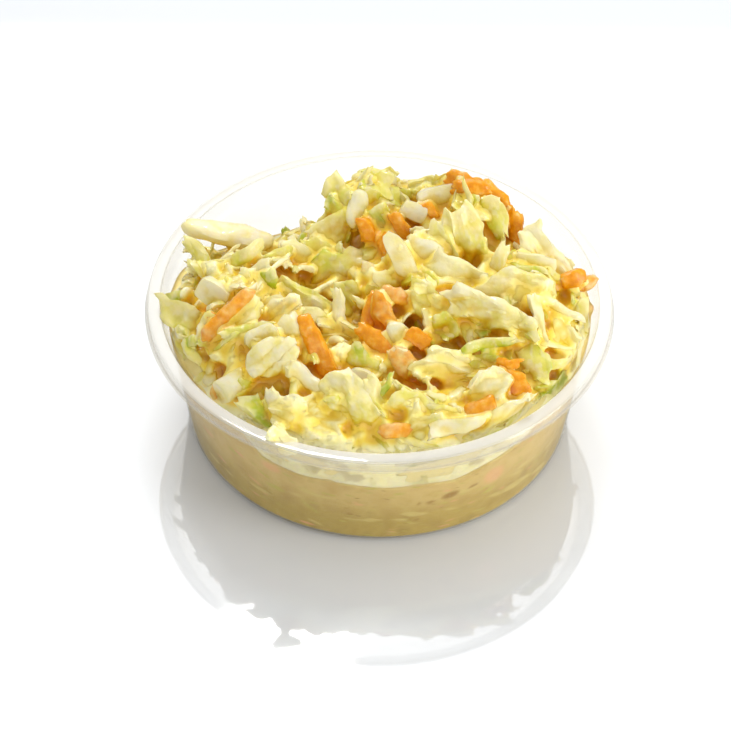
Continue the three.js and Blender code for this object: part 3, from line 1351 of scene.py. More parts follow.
    def build(self) -> None:
        """Lays every shred."""
        self.lay_left()
        self.lay_middle()
        self.lay_carrot_tangle()
        self.lay_right()
        self.lay_front_shelf()
        self.lay_front()
        self.lay_wall_line()
        self.scatter(Cut.LEAF, self.leaves // 2, (-4.2, -1.8), 16)
        self.scatter(Cut.STRIP, self.strips // 2, (-3.2, -0.8), 18)
        self.scatter(Cut.LEAF, self.leaves // 2, (-2.2, -0.2), 20)
        self.scatter(Cut.RIB, self.ribs, (-2.4, -0.8), 20)
        self.scatter(Cut.STRIP, self.strips // 2, (-1.6, 0.2), 20)
        self.scatter(Cut.STICK, self.sticks, (-2.2, -0.6), 14)
        self.scatter(Cut.RIBBON, self.ribbons, (-2.2, -0.6), 18)
        self.scatter(Cut.STRIP, self.strings, (-0.6, 0.7), 12, keep_off=False, slim=0.5)
        self.scatter(Cut.BIT, self.bits, (-1.2, 0.8), 25, keep_off=False)
        self.lay_last()

    def lay_last(self) -> None:
        """Lays the last leaves, over the gaps that the scattered ones left open."""
        self.put(Cut.LEAF, (11, -45, 0.9), 24, (9, 6.5, 1.2), green=0.3, cream=0.5)
        self.put(Cut.LEAF, (7, -41, 0.4), -30, (9, 6, 1.1), green=0.5, cream=0.3)

    def lay_left(self) -> None:
        """Lays the left mound: the rib over the rim, the rib block, two carrot sticks and their leaves."""
        leaf, strip, rib, stick, ribbon = Cut.LEAF, Cut.STRIP, Cut.RIB, Cut.STICK, Cut.RIBBON
        plain = {"bend": 0.0, "cross_bend": 0.0, "twist": 0.0, "crumple": 0.0, "ragged": 0.05, "slant": 0.0}
        pale = plain | {"green": 0.0, "cream": 0.0}
        over_rim = pale | {"cross_bend": 40.0, "taper": 0.15, "boxy": 3.2, "round": 0.7, "green": 0.04}
        self.put(rib, (-38.5, 17, 0), 172, (24, 6.8, 4.6), True, (0, -0.3, 1), 12.0, height=42.0, **over_rim)
        self.put(strip, (-43, 6, 1), -53, (17, 3.6, 2.4), bend=10.0, green=0.55, cream=0.0, face=FRONT_LEFT)
        self.put(strip, (-44, 1, 0), -60, (12, 3, 2), bend=20.0, green=0.4, cream=0.1, face=FRONT_LEFT)
        self.put(leaf, (-49, -3, 1), 170, (10, 4.5, 1.2), True, FRONT_LEFT, bend=30.0, green=0.85, cream=0.0)
        self.put(
            leaf, (-48, -10, 1), 155, (13, 7, 1.0), True, FRONT_LEFT, green=0.4, cream=0.1, green_end=0.1
        )
        self.put(rib, (-40, -10, 1.4), -38, (9, 7, 3.4), face=(-0.15, -0.8, 0.6), **pale)
        self.put(stick, (-36, -18, 2.6), 46, (18, 4.2, 3.2), bend=12.0, cream=0.35, ragged=0.1, taper=0.2)
        self.put(ribbon, (-39, -19, 0.6), 130, (8, 4, 2), bend=50.0, cream=0.3)
        self.put(leaf, (-33, -18, 0.8), 50, (11, 9, 1.0), green=0.15, cream=0.6, crumple=0.5)
        self.put(leaf, (-40, -21, 0.6), -58, (12, 8, 1.0), face=FRONT_LEFT, green=0.35, cream=0.4, bend=40.0)
        self.put(strip, (-32, -23, 1.4), 192, (15, 3.4, 1.4), bend=-50.0, green=0.5, cream=0.0, taper=0.3)
        ridge = {"bend": 40.0, "cross_bend": 40.0, "slant": 0.2}
        self.put(leaf, (-18, -8, 1.6), -33, (18, 6.5, 1.1), green=0.35, cream=0.2, **ridge)
        self.put(leaf, (-21, -14, 1.4), -14, (17, 5, 1.1), bend=40.0, green=0.3, cream=0.5, slant=0.0)
        self.put(leaf, (-25, -15, 0.8), 20, (12, 8, 1.1), green=0.2, cream=0.7)
        lump = {"boxy": 3.4, "round": 0.7, "ragged": 0.2, "veins": 0.4, "crumple": 0.5, "cross_bend": 60.0}
        self.put(rib, (-26, -31, 1.6), 14, (14, 9, 3.4), green=0.14, cream=0.2, **lump)
        lump |= {"veins": 0.3, "crumple": 0.4, "cross_bend": 50.0}
        self.put(rib, (-28, -26, 1.4), 20, (9, 8, 3.0), green=0.1, cream=0.3, **lump)
        self.put(leaf, (-21, -25, 1.4), -78, (15, 6, 1.2), green=0.15, cream=0.5, cross_bend=60.0, bend=30.0)
        self.put(strip, (-18, -35, 0.8), -28, (12, 5, 2.2), green=0.05, cream=0.3, bend=-60.0)
        straight = {"bend": 8.0, "twist": 6.0, "slant": 0.1, "ragged": 0.08}
        self.put(stick, (-16, -26, 2.4), -64, (17, 4.8, 3.6), cream=0.0, **straight)
        self.put(rib, (-36, -34, 1.0), 32, (12, 6.5, 3), green=0.1, cream=0.2, boxy=3.0)
        self.put(leaf, (-29, -41, 0.6), -42, (11, 8, 1.0), green=0.85, cream=0.0, bend=30.0)
        self.put(
            leaf, (-45, -28, 0.8), -46, (11, 4.5, 1.0), green=0.2, cream=0.2, cross_bend=50.0, face=FRONT_LEFT
        )
        self.put(leaf, (-45, -22, 0.6), -50, (9, 4, 1.0), green=0.5, cream=0.0, taper=0.6, face=FRONT_LEFT)
        self.put(leaf, (-48, -17, -0.4), -65, (11, 8, 1.0), green=0.55, cream=0.0, face=(-0.6, -0.6, 0.5))
        self.put(leaf, (-30, 8, 1.0), 12, (15, 7, 1.0), green=0.6, cream=0.2)
        self.put(strip, (-33, 2, 1.2), 40, (11, 4, 1.5), green=0.5, cream=0.1)
        self.put(strip, (-27, 4, 1.2), 24, (13, 4, 1.5), green=0.4, cream=0.2)
        self.put(leaf, (-31, -4, 1.2), 30, (12, 6, 1.1), green=0.15, cream=0.6)
        self.put(leaf, (-20, 6, 1.0), -35, (13, 9, 1.2), green=0.25, cream=0.7)
        self.put(leaf, (-27, -6, 1.6), -65, (6, 3.4, 0.9), green=0.95, cream=0.0)
        self.put(stick, (-39, -33, 0.6), 60, (5, 3, 2), cream=0.5)

    def lay_middle(self) -> None:
        """Lays the back middle peak and the slope in front of it."""
        leaf, strip, rib, stick, ribbon = Cut.LEAF, Cut.STRIP, Cut.RIB, Cut.STICK, Cut.RIBBON
        oval = {"bend": 0.0, "cross_bend": 30.0, "boxy": 2.2, "round": 1.0, "ragged": 0.0}
        oval |= {"crumple": 0.0, "slant": 0.0, "green": 0.0, "cream": 0.0}
        self.put(
            leaf, (-10, 20, -0.6), -58, (14, 7.5, 1.0), face=FRONT_LEFT, green=0.6, cream=0.0, ragged=0.15
        )
        self.put(leaf, (-11, 18, 0.0), -40, (9, 5, 1.0), face=FRONT_LEFT, green=0.65, cream=0.1)
        self.put(rib, (-6, 17, 0.6), 76, (10, 5.6, 3.2), **oval)
        self.put(leaf, (-1, 20, -1.2), 78, (14, 9, 1.0), green=0.5, cream=0.0, cross_bend=40.0, ragged=0.15)
        self.put(leaf, (5, 22, -1.2), -40, (12, 6, 1.0), green=0.55, cream=0.1)
        self.put(leaf, (0, 13, 1.2), -72, (8, 6, 1.2), green=0.8, cream=0.1, cross_bend=60.0)
        self.put(stick, (-3, 11, 1.4), -70, (7, 3.8, 2.6), cream=0.0, taper=-0.2)
        self.put(stick, (5, 10, 1.8), -56, (8, 4, 2.8), cream=0.1)
        self.put(rib, (8, 16, 1.6), -22, (7, 5.4, 3), green=0.04, cream=0.2, crumple=0.0)
        wide = {"green": 0.4, "green_end": 0.35, "cream": 0.2, "cross_bend": 30.0, "bend": 30.0}
        self.put(leaf, (-8, 4, 1.6), 196, (18, 13, 1.0), **wide)
        self.put(leaf, (-12, 13, 0.2), 24, (13, 9, 1.1), green=0.3, cream=0.4, cross_bend=40.0)
        self.put(leaf, (-15, 9, 0.8), -30, (10, 7, 1.1), green=0.5, cream=0.3)
        self.put(leaf, (-7, -6, 0.4), -60, (11, 8, 1.1), green=0.55, cream=0.1)
        self.put(strip, (-10, -13, 1.6), -86, (14, 4, 1.3), green=0.12, cream=0.3, bend=15.0, taper=0.3)
        self.put(rib, (5, 0, 1.6), -64, (13, 5, 2.6), green=0.06, cream=0.4, taper=-0.3)
        self.put(rib, (11, 2, 1.6), -26, (11, 6.4, 3), green=0.1, cream=0.3, boxy=3.0)
        self.put(ribbon, (2, 5, 0.2), -60, (9, 4.6, 2), cream=0.1)
        self.put(ribbon, (-1, -1, 1.4), -40, (8, 4, 2), cream=0.8)
        self.put(leaf, (3, -4, 0.8), 10, (7, 6, 1.1), green=0.35, cream=0.5)
        self.put(leaf, (12, -13, 1.6), -56, (17, 8, 1.2), green=0.5, cream=0.35, cross_bend=50.0)
        self.put(leaf, (17, -5, 1.4), -24, (15, 10, 1.4), green=0.2, cream=0.7)
        self.put(leaf, (16, -19, 0.2), -60, (8, 6, 1.1), green=0.7, cream=0.0)
        self.put(leaf, (-1, 31, -2.0), 10, (13, 8, 1.1), green=0.4, cream=0.4, face=(0, 0.1, 1))

    def lay_carrot_tangle(self) -> None:
        """Lays the knot of carrot curls in the middle, half coated with dressing."""
        stick, ribbon, rib = Cut.STICK, Cut.RIBBON, Cut.RIB
        self.put(ribbon, (-2, -13, 2.0), -108, (13, 4.2, 2.4), bend=20.0, cream=0.15, twist=0.0)
        self.put(ribbon, (0, -22, 2.2), -42, (15, 4.6, 2.4), bend=30.0, cream=0.1, twist=10.0)
        self.put(ribbon, (2, -14, 2.8), -64, (12, 4.6, 2.4), bend=30.0, cream=0.35, twist=0.0)
        self.put(ribbon, (5, -10, 2.6), -14, (11, 4.2, 2.2), bend=50.0, cream=0.5)
        self.put(rib, (5, -21, 2.2), -58, (9, 6, 2.6), green=0.0, cream=0.4, boxy=2.6, round=1.0)
        self.put(stick, (9, -21, 2.8), -30, (7, 4.6, 2.8), cream=0.15)
        self.put(ribbon, (8, -28, 2.4), -38, (15, 5.2, 2.4), bend=20.0, cream=0.55)

    def lay_right(self) -> None:
        """Lays the right side: the upright slab, the carrot curl over the peak, and the long ridge."""
        leaf, strip, rib, stick, ribbon = Cut.LEAF, Cut.STRIP, Cut.RIB, Cut.STICK, Cut.RIBBON
        slab = {"green": 0.4, "green_end": 0.15, "cream": 0.15, "cross_bend": 50, "bend": 10, "taper": 0.1}
        self.put(leaf, (22, 5, 1.8), -76, (23, 12, 1.1), face=(-0.1, -0.85, 0.5), crumple=0.7, **slab)
        self.put(leaf, (15, 3, 1.0), -64, (15, 7, 1.1), green=0.35, cream=0.3, cross_bend=-30.0)
        self.put(strip, (28, 1, 1.4), 57, (14, 4.2, 1.6), green=0.3, cream=0.2, bend=15.0)
        self.put(leaf, (14, 29, -0.6), 12, (14, 7.5, 1.0), green=0.5, cream=0.05, crumple=0.3, ragged=0.15)
        self.put(strip, (15, 27, -0.5), 22, (10, 2.8, 1.4), green=0.95, cream=0.0, bend=20.0)
        self.put(
            rib, (15, 21, 0.6), 16, (11, 5.4, 2.8), green=0.0, cream=0.1, ragged=0.0, crumple=0.0, bend=0.0
        )
        self.put(leaf, (20, 28, -0.5), -72, (8, 3.6, 1.0), green=0.15, cream=0.3, taper=0.4)
        self.put(ribbon, (23, 27, -0.8), -18, (14, 5.4, 2.2), bend=30.0, cream=0.3, twist=10.0)
        self.put(ribbon, (29, 22, 0.8), -52, (15, 5.4, 2.4), bend=40.0, cream=0.15, twist=0.0)
        self.put(ribbon, (33, 15, 2.2), -84, (14, 4.6, 2.4), bend=20.0, cream=0.1, twist=0.0)
        self.put(ribbon, (22, 21, 0.2), 0, (11, 5, 2.2), bend=40.0, cream=0.0)
        self.put(stick, (26, 30, -0.8), 4, (6, 3.6, 2.4), cream=0.1)
        self.put(leaf, (28, 15, 1.0), -72, (12, 6, 1.1), green=0.6, cream=0.0)
        self.put(stick, (13, 17, 1.8), -48, (5, 3.4, 2.4), cream=0.0)
        self.put(stick, (30, 7, 1.0), 20, (5, 2.6, 2), cream=0.1)
        self.put(
            leaf, (41, 8, 1.4), -40, (20, 11, 1.2), face=FRONT_RIGHT, green=0.1, cream=0.5, cross_bend=30.0
        )
        self.put(rib, (38, 4, 1.8), -10, (11, 4.4, 2), green=0.12, cream=0.6)
        self.put(strip, (36, 0, 1.8), -16, (10, 3, 1.5), green=0.75, cream=0.1, bend=30.0)
        self.put(stick, (47, 2, 2.0), 25, (7, 4.4, 2.8), True, FRONT_RIGHT, cream=0.1)
        self.put(stick, (49.5, 4, 2.8), 24, (8, 4, 2.4), True, FRONT_RIGHT, cream=0.5, round=1.0, boxy=2.4)
        self.put(
            leaf, (33, -10, 1.8), -16, (18, 13, 1.8), green=0.42, green_edge=-0.1, cream=0.55, cross_bend=50.0
        )
        self.put(
            leaf, (27, -18, 2.2), -22, (26, 10, 1.8), green=0.3, green_edge=-0.25, cream=0.5, cross_bend=60.0
        )
        self.put(leaf, (19, -14, 1.8), 20, (11, 9, 1.5), green=0.2, cream=0.7)
        self.put(strip, (26, -25, 2.0), 10, (14, 3.8, 1.6), green=0.8, cream=0.1, bend=15.0)
        self.put(leaf, (24, -29, 0.4), 4, (17, 6, 1.2), green=0.5, cream=0.0)
        self.put(leaf, (18, -30, 1.4), -12, (21, 10, 1.5), green=0.06, cream=0.9, bend=20.0)
        self.put(strip, (43, -13, 2.0), -14, (13, 3.4, 2), face=FRONT_RIGHT, green=0.06, cream=0.6, bend=30.0)
        self.put(strip, (38, -18, 1.8), -74, (14, 4, 2.2), green=0.1, cream=0.6, bend=20.0)
        self.put(leaf, (46, -20, 1.0), -30, (14, 10, 1.5), face=FRONT_RIGHT, green=0.15, cream=0.8)
        self.put(leaf, (50, -5, 1.0), 70, (11, 7, 1.1), face=FRONT_RIGHT, green=0.35, cream=0.3)
        self.put(leaf, (37, -27, 0.6), -60, (12, 8, 1.1), green=0.65, cream=0.0)
        self.put(leaf, (42, -30, 0.8), 28, (14, 6, 1.1), face=FRONT_RIGHT, green=0.95, cream=0.0)
        self.put(strip, (42, -26, 1.8), 18, (14, 3, 1.5), face=FRONT_RIGHT, green=0.35, cream=0.2, bend=30.0)

    def lay_wall_line(self) -> None:
        """Lays the pale leaves that stand close behind the clear front wall, over the contact line."""
        between = self.rng.uniform
        for bearing in range(222, 330, 5):
            out = (math.cos(math.radians(bearing)), math.sin(math.radians(bearing)))
            radius = 49.6 + between(-0.6, 0.6)
            place = (out[0] * radius, out[1] * radius, 0)
            heading, size = bearing + between(60, 120), (between(9, 14), between(7, 10), 1.4)
            face, height = (out[0], out[1], between(0.1, 0.7)), between(25.5, 30.5)
            tints = {"green": between(0.0, 0.25), "cream": between(0.6, 1.0)}
            self.put(Cut.LEAF, place, heading, size, face=face, height=height, **tints)

    def lay_front_shelf(self) -> None:
        """Lays the creamy leaves that fill the heap right up to the rim at the front."""
        between = self.rng.uniform
        for bearing in range(214, 334, 5):
            out = (math.cos(math.radians(bearing)), math.sin(math.radians(bearing)))
            radius = 46.5 + between(-2.0, 1.5)
            place = (out[0] * radius, out[1] * radius, 0)
            heading, size = bearing + between(0, 180), (between(9, 14), between(6, 9), 1.4)
            face, height = (0.5 * out[0], 0.5 * out[1], 1.0), between(32.0, 34.5)
            tints = {"green": between(0.05, 0.6), "cream": between(0.3, 0.9)}
            self.put(Cut.LEAF, place, heading, size, face=face, height=height, **tints)

    def lay_front(self) -> None:
        """Lays the low front: wide creamy leaves, the hollow with thin strings, and half hidden carrot."""
        leaf, strip, rib, stick, ribbon = Cut.LEAF, Cut.STRIP, Cut.RIB, Cut.STICK, Cut.RIBBON
        self.put(rib, (-4, -34, 1.2), -72, (8, 5.6, 2.6), green=0.05, cream=0.2, ragged=0.0)
        self.put(leaf, (-4, -27, 0.8), -42, (11, 6, 1.2), green=0.72, cream=0.05, cross_bend=40.0)
        self.put(leaf, (-9, -25, 0.8), 10, (8, 6, 1.4), green=0.2, cream=0.8)
        self.put(leaf, (-17, -43, 1.4), -14, (17, 11, 1.5), green=0.1, cream=0.7, cross_bend=30.0)
        self.put(
            leaf, (-7, -41, 1.4), -50, (17, 11, 1.4), green=0.35, green_end=0.15, cream=0.45, cross_bend=40.0
        )
        self.put(strip, (-24, -41, 1.2), -72, (11, 4.6, 2), green=0.1, cream=0.3, bend=30.0)
        self.put(leaf, (-1, -40, 0.8), -60, (12, 5, 0.9), green=0.4, cream=0.1)
        for step in range(6):
            string = {"green": 0.1 + 0.16 * (step % 3), "cream": 0.2, "bend": 20.0, "crumple": 0.2}
            self.put(strip, (6 + 1.8 * step, -38 - 0.7 * step, 0.2), -48 + 9 * step, (13, 1.7, 1.2), **string)
        self.put(strip, (1, -38, 0.8), 62, (11, 1.7, 1.2), green=0.95, cream=0.0, bend=10.0)
        self.put(stick, (4, -45, 1.6), 8, (9, 4, 2.4), cream=0.45)
        self.put(strip, (9, -47, 1.4), -16, (13, 3.2, 1.8), green=0.4, cream=0.3, bend=-40.0)
        self.put(rib, (18, -45, 1.6), 10, (14, 5.4, 2.4), green=0.04, cream=0.4, twist=30.0, taper=0.4)
        self.put(leaf, (29, -41, 1.6), 24, (16, 6.4, 1.5), green=0.2, cream=0.7)
        self.put(leaf, (26, -36, 1.4), 24, (11, 8, 1.5), green=0.0, cream=0.6)
        self.put(ribbon, (32, -34, 1.6), -56, (10, 5, 2.2), cream=0.1, bend=60.0)
        self.put(ribbon, (25, -40, 1.0), 18, (11, 4.6, 2.2), cream=0.3)
        self.put(ribbon, (31, -30, 1.6), -8, (6, 3, 1.8), cream=0.1)
        self.put(leaf, (-23, -50, 0), -40, (8, 5.6, 1.7), True, height=36.5, green=0.1, cream=0.8)


# ---------------------------------------------------------------- dressing


@dataclass
class Block:
    """Numbers on a regular grid in space, with spacing in millimetres."""

    values: Array
    low: Array
    spacing: float

    def read(self, where: Array) -> Array:
        """Reads the grid between its points.

        Args:
            where: Places, N by 3, in millimetres.

        Returns:
            N numbers.
        """
        size = np.array(self.values.shape)
        cell = np.clip(where / self.spacing - self.low, 0, size - 1.001)
        a = cell.astype(int)
        t = cell - a
        total = np.zeros(len(where))
        for corner in range(8):
            step = np.array([corner & 1, corner >> 1 & 1, corner >> 2 & 1])
            weight = np.prod(np.where(step, t, 1 - t), axis=1)
            total += weight * self.values[tuple((a + step).T)]
        return total

    def blurred(self, reach: float) -> "Block":
        """Smooths the grid with a bell curve.

        Args:
            reach: The curve's reach in millimetres.

        Returns:
            The smoothed grid.
        """
        sigma = reach / self.spacing
        half = int(math.ceil(sigma * 2.5))
        bell = np.exp(-0.5 * (np.arange(-half, half + 1) / sigma) ** 2)
        bell /= bell.sum()
        out = self.values.astype(np.float32)
        for axis in range(3):
            padded = np.pad(out, [(half, half) if k == axis else (0, 0) for k in range(3)], mode="edge")
            total = np.zeros_like(out)
            for shift, weight in enumerate(bell):
                part = [slice(None)] * 3
                part[axis] = slice(shift, shift + out.shape[axis])
                total += weight * padded[tuple(part)]
            out = total
        return Block(out, self.low, self.spacing)


def spread_numbers(places: Array, numbers: Array, reach: float, elsewhere: float = 0.0) -> Block:
    """Spreads numbers given at scattered places through space, as a weighted mean.

    Args:
        places: N by 3, in millimetres.
        numbers: One for each place.
        reach: How far each spreads, in millimetres.
        elsewhere: The number far from all of them.

    Returns:
        The mean on a 1 mm grid.
    """
    low = np.array([-62, -62, -4])
    size = (125, 125, 75)
    cell = np.clip(np.round(places - low).astype(int), 0, np.array(size) - 1)
    total = np.full(size, 1e-3 * elsewhere, np.float32)
    weight = np.full(size, 1e-3, np.float32)
    np.add.at(total, tuple(cell.T), numbers)
    np.add.at(weight, tuple(cell.T), 1.0)
    top = Block(total, low, 1.0).blurred(reach).values
    under = Block(weight, low, 1.0).blurred(reach).values
    return Block(top / under, low, 1.0)


@dataclass
class Shelter:
    """How much of the space just above a place is filled, near by and further round."""

    near: Block
    wide: Block

    def read(self, where: Array) -> Array:
        """Measures how sheltered places are.

        Args:
            where: Places, N by 3, in millimetres.

        Returns:
            N numbers, 0 on open tops and 1 in deep gaps.
        """
        up = np.array([0.0, 0.0, 1.0])
        filled = 0.5 * self.near.read(where + up) + 0.5 * self.wide.read(where + 2 * up)
        return np.clip((filled - 0.18) / 0.52, 0, 1) * self._away_from_wall(where)

    @staticmethod
    def _away_from_wall(where: Array) -> Array:
        """Says how far light from the side, which gets in through the clear wall, leaves places sheltered.

        Args:
            where: Places, N by 3, in millimetres.

        Returns:
            N numbers, 1 well inside the cup and less behind its wall.
        """
        near_wall = smoothstep(47.0, 50.0, np.hypot(where[:, 0], where[:, 1]))
        under_rim = 1 - smoothstep(33.0, 37.0, where[:, 2])
        return 1 - 0.85 * near_wall * under_rim

    def folds(self, where: Array) -> Array:
        """Returns how hollow the surface is at places: 0 on sharp edges and crests, 1 in tight folds."""
        return np.clip((self.near.read(where) - 0.2) / 0.6, 0, 1) * self._away_from_wall(where)


@dataclass
class Dressing:
    """The creamy dressing that fills the gaps between the shreds and binds them to the core."""

    voxel: float = 0.5
    bridge: float = 1.2
    sink: float = 0.3
    patchy: float = 0.25
    coat: float = 0.5
    blobs: float = 0.5
    inside: float = 0.22

    def build(self, points: Array, quads: Array, cream: Block) -> tuple[Array, Array, Shelter]:
        """Closes the gaps between the solids.

        Args:
            points: The vertices of all the solids.
            quads: Their faces.
            cream: How thickly each place is coated.

        Returns:
            The dressing's vertices and quads, and the measure of how sheltered places are.
        """
        bare = self._grid(points, quads)
        grow = bare.convertToQuads(isovalue=self.bridge)
        grid = self._grid(*grow)
        box = grid.evalActiveVoxelBoundingBox()
        low = np.array(box[0])
        size = np.array(box[1]) - low + 1
        distance = np.zeros(tuple(size), dtype=np.float32)
        grid.copyToArray(distance, ijk=tuple(int(i) for i in low))
        near = np.argwhere(np.abs(distance + self.bridge) < self.voxel * 2)
        place = (near + low) * self.voxel
        patches = self.patchy * lattice_noise(place, 5.0, 3) + 0.1 * lattice_noise(place, 1.7, 5)
        thick = cream.read(place)
        patches += self.coat * (0.45 - thick)
        patches -= self.blobs * thick * np.maximum(lattice_noise(place, 3.2, 6), 0)
        distance[tuple(near.T)] += patches.astype(np.float32)
        shaped = openvdb.FloatGrid(self.voxel * 5)
        shaped.transform = openvdb.createLinearTransform(voxelSize=self.voxel)
        shaped.copyFromArray(distance, ijk=tuple(int(i) for i in low))
        skin = -(self.bridge + self.sink)
        verts, faces = shaped.convertToQuads(isovalue=skin)
        solids = np.full(tuple(size), 5 * self.voxel, dtype=np.float32)
        bare.copyToArray(solids, ijk=tuple(int(i) for i in low))
        inside = Block(solids, low, self.voxel).read(verts) < -self.inside
        solid = Block((distance < skin + 0.3).astype(np.float32), low, self.voxel)
        shelter = Shelter(solid.blurred(1.1), solid.blurred(2.8))
        verts, faces, _ = without(verts, faces, inside)
        return verts, faces[:, ::-1], shelter

    def _grid(self, points: Array, quads: Array) -> Any:
        """Returns the signed distance grid of a mesh."""
        return openvdb.FloatGrid.createLevelSetFromPolygons(
            points.astype(np.float32),
            quads=quads.astype(np.uint32),
            transform=openvdb.createLinearTransform(voxelSize=self.voxel),
            halfWidth=5.0,
        )


# About how far the front wall is from the cup's axis, in millimetres.
WALL_RADIUS = 51.0


@dataclass(frozen=True)
class Mark:
    """One shred pressed against the wall, or a bubble there, whose hollow is painted as a dark patch of
    shade.

    bearing and slant are in degrees, and level, length and width are in millimetres.
    """

    kind: str
    bearing: float
    level: float
    length: float
    width: float
    slant: float = 0.0

    def shade(self, bearings: Array, levels: Array) -> Array:
        """Says how strongly it shows at places on the wall.

        Args:
            bearings: Degrees from +X towards +Y.
            levels: Heights in millimetres.

        Returns:
            1 in its middle and 0 outside it.
        """
        run = ((bearings - self.bearing + 180) % 360 - 180) * math.radians(WALL_RADIUS)
        rise = levels - self.level
        turn = math.radians(self.slant)
        along = run * math.cos(turn) + rise * math.sin(turn)
        across = rise * math.cos(turn) - run * math.sin(turn)
        return 1 - smoothstep(0.55, 1.1, np.hypot(along / (self.length / 2), across / (self.width / 2)))


# Marks on the wall: pressed shreds, and bubbles painted dark as shade.
WALL_MARKS = (
    Mark("bubble_shade", 290.3, 15.6, 5.4, 2.8, 12),
    Mark("bubble_shade", 284.6, 14.4, 2.6, 1.5, 10),
    Mark("bubble_shade", 281.5, 14.2, 1.2, 0.9),
    Mark("bubble_shade", 281.0, 8.0, 1.3, 0.9, 0),
    Mark("bubble_shade", 262.0, 10.5, 1.4, 1.2, 0),
    Mark("bubble_shade", 299.0, 24.4, 4.5, 1.8, 30),
    Mark("bubble_shade", 297.0, 16.6, 3.2, 1.1, 10),
    Mark("green", 240.0, 13.5, 6.5, 1.8, -4),
    Mark("green", 250.5, 10.4, 7.0, 0.9, -40),
    Mark("green", 236.5, 17.0, 4.5, 0.9, -20),
    Mark("green", 226.0, 19.0, 4.0, 1.6, -8),
    Mark("green", 276.0, 19.5, 4.0, 0.8, 4),
    Mark("green", 303.0, 12.0, 4.0, 1.0, 14),
    Mark("carrot", 239.6, 21.4, 6.5, 3.6, -6),
    Mark("carrot", 264.5, 15.0, 3.4, 1.0, -16),
    Mark("carrot", 303.6, 17.6, 7.0, 7.0, 0),
    Mark("carrot", 307.5, 26.5, 7.0, 2.0, 16),
    Mark("carrot", 233.0, 12.0, 5.0, 1.2, -20),
    Mark("carrot", 214.0, 17.0, 6.0, 2.0, 10),
    Mark("green", 340.0, 15.0, 7.0, 1.5, 10),
    Mark("carrot", 20.0, 14.0, 6.0, 2.0, -8),
    Mark("green", 60.0, 18.0, 8.0, 1.4, 6),
    Mark("bubble_shade", 105.0, 12.0, 4.0, 2.0, 0),
    Mark("carrot", 140.0, 16.0, 7.0, 2.2, 14),
    Mark("green", 175.0, 11.0, 6.0, 1.2, -14),
)


@dataclass
class Core:
    """The slaw under the shreds: it fills the cup up to the contact line and reaches just into the wall."""

    heap: Heap
    sectors: int = 480
    side_rings: int = 40
    top_rings: int = 40
    into_wall: float = 0.36
    floor: float = 1.2
    depth: float = 6.0

    def build(self) -> tuple[Array, Array]:
        """Builds the closed core.

        Returns:
            Its vertices in millimetres and its quads.
        """
        bearings = np.arange(self.sectors) * 360 / self.sectors
        turn = np.radians(bearings)
        circle = np.stack([np.cos(turn), np.sin(turn)], axis=1)
        levels = self.heap.wall_level(circle[:, 0], circle[:, 1])
        levels = levels + 0.5 * lattice_noise(np.column_stack([circle * 50, np.zeros(len(turn))]), 6.0, 8)
        rings = []
        for r in (0.5, 25.0, 44.0):
            rings.append(np.column_stack([circle * r, np.full(len(turn), self.floor - self.into_wall)]))
        for j in range(self.side_rings + 1):
            share = (j / self.side_rings) ** 1.5
            z = self.floor + (levels - self.floor) * share
            r = self.heap.wall_radius(z) + self.into_wall
            rings.append(np.column_stack([circle * r[:, None], z]))
        for j in range(1, self.top_rings + 1):
            share = 1 - j / (self.top_rings + 0.5)
            r = (self.heap.wall_radius(levels) + self.into_wall) * share
            x, y = circle[:, 0] * r, circle[:, 1] * r
            sunk = self.depth * smoothstep(0.0, 0.12, np.full(len(turn), 1 - share))
            height = Heap.sample(self.heap.heights, x * 0.995, y * 0.995) - sunk
            z = np.where(share > 0.97, levels, np.maximum(height, 6.0))
            rings.append(np.column_stack([x, y, z]))
        n = self.sectors
        caps = []
        for start, flip in ((0, True), ((len(rings) - 1) * n, False)):
            for i in range(0, n - 2, 2):
                quad = [start, start + i + 1, start + i + 2, start + min(i + 3, n - 1)]
                if len(set(quad)) == 4:
                    caps.append(quad[::-1] if flip else quad)
        return np.concatenate(rings), np.concatenate([ring_quads(len(rings), n), np.array(caps)])

    @staticmethod
    def marked(points: Array, kind: str) -> Array:
        """Says how strongly the marks of one kind show on the core.

        Args:
            points: Places, N by 3, in millimetres.
            kind: Which marks.

        Returns:
            N numbers from 0 to 1.
        """
        bearings = np.degrees(np.arctan2(points[:, 1], points[:, 0])) % 360
        shades = [mark.shade(bearings, points[:, 2]) for mark in WALL_MARKS if mark.kind == kind]
        outer = smoothstep(42.0, 46.0, np.hypot(points[:, 0], points[:, 1]))
        return np.max(shades, axis=0) * outer

    def hides(self, points: Array, margin: float = 1.0) -> Array:
        """Says which places are well inside the core.

        Args:
            points: Places, N by 3, in millimetres.
            margin: How far under the core's top they must be.

        Returns:
            True for each place that the core hides.
        """
        x, y, z = points.T
        share = np.hypot(x, y) / self.heap.wall_radius(z)
        sunk = self.depth * smoothstep(0.0, 0.12, 1 - share)
        top = np.minimum(Heap.sample(self.heap.heights, x, y) - sunk, 60.0)
        beside = (share > 0.95) & (z < self.heap.wall_level(x, y) - margin)
        return (z < top - margin) & (share < 0.97) | beside


# ---------------------------------------------------------------- cup


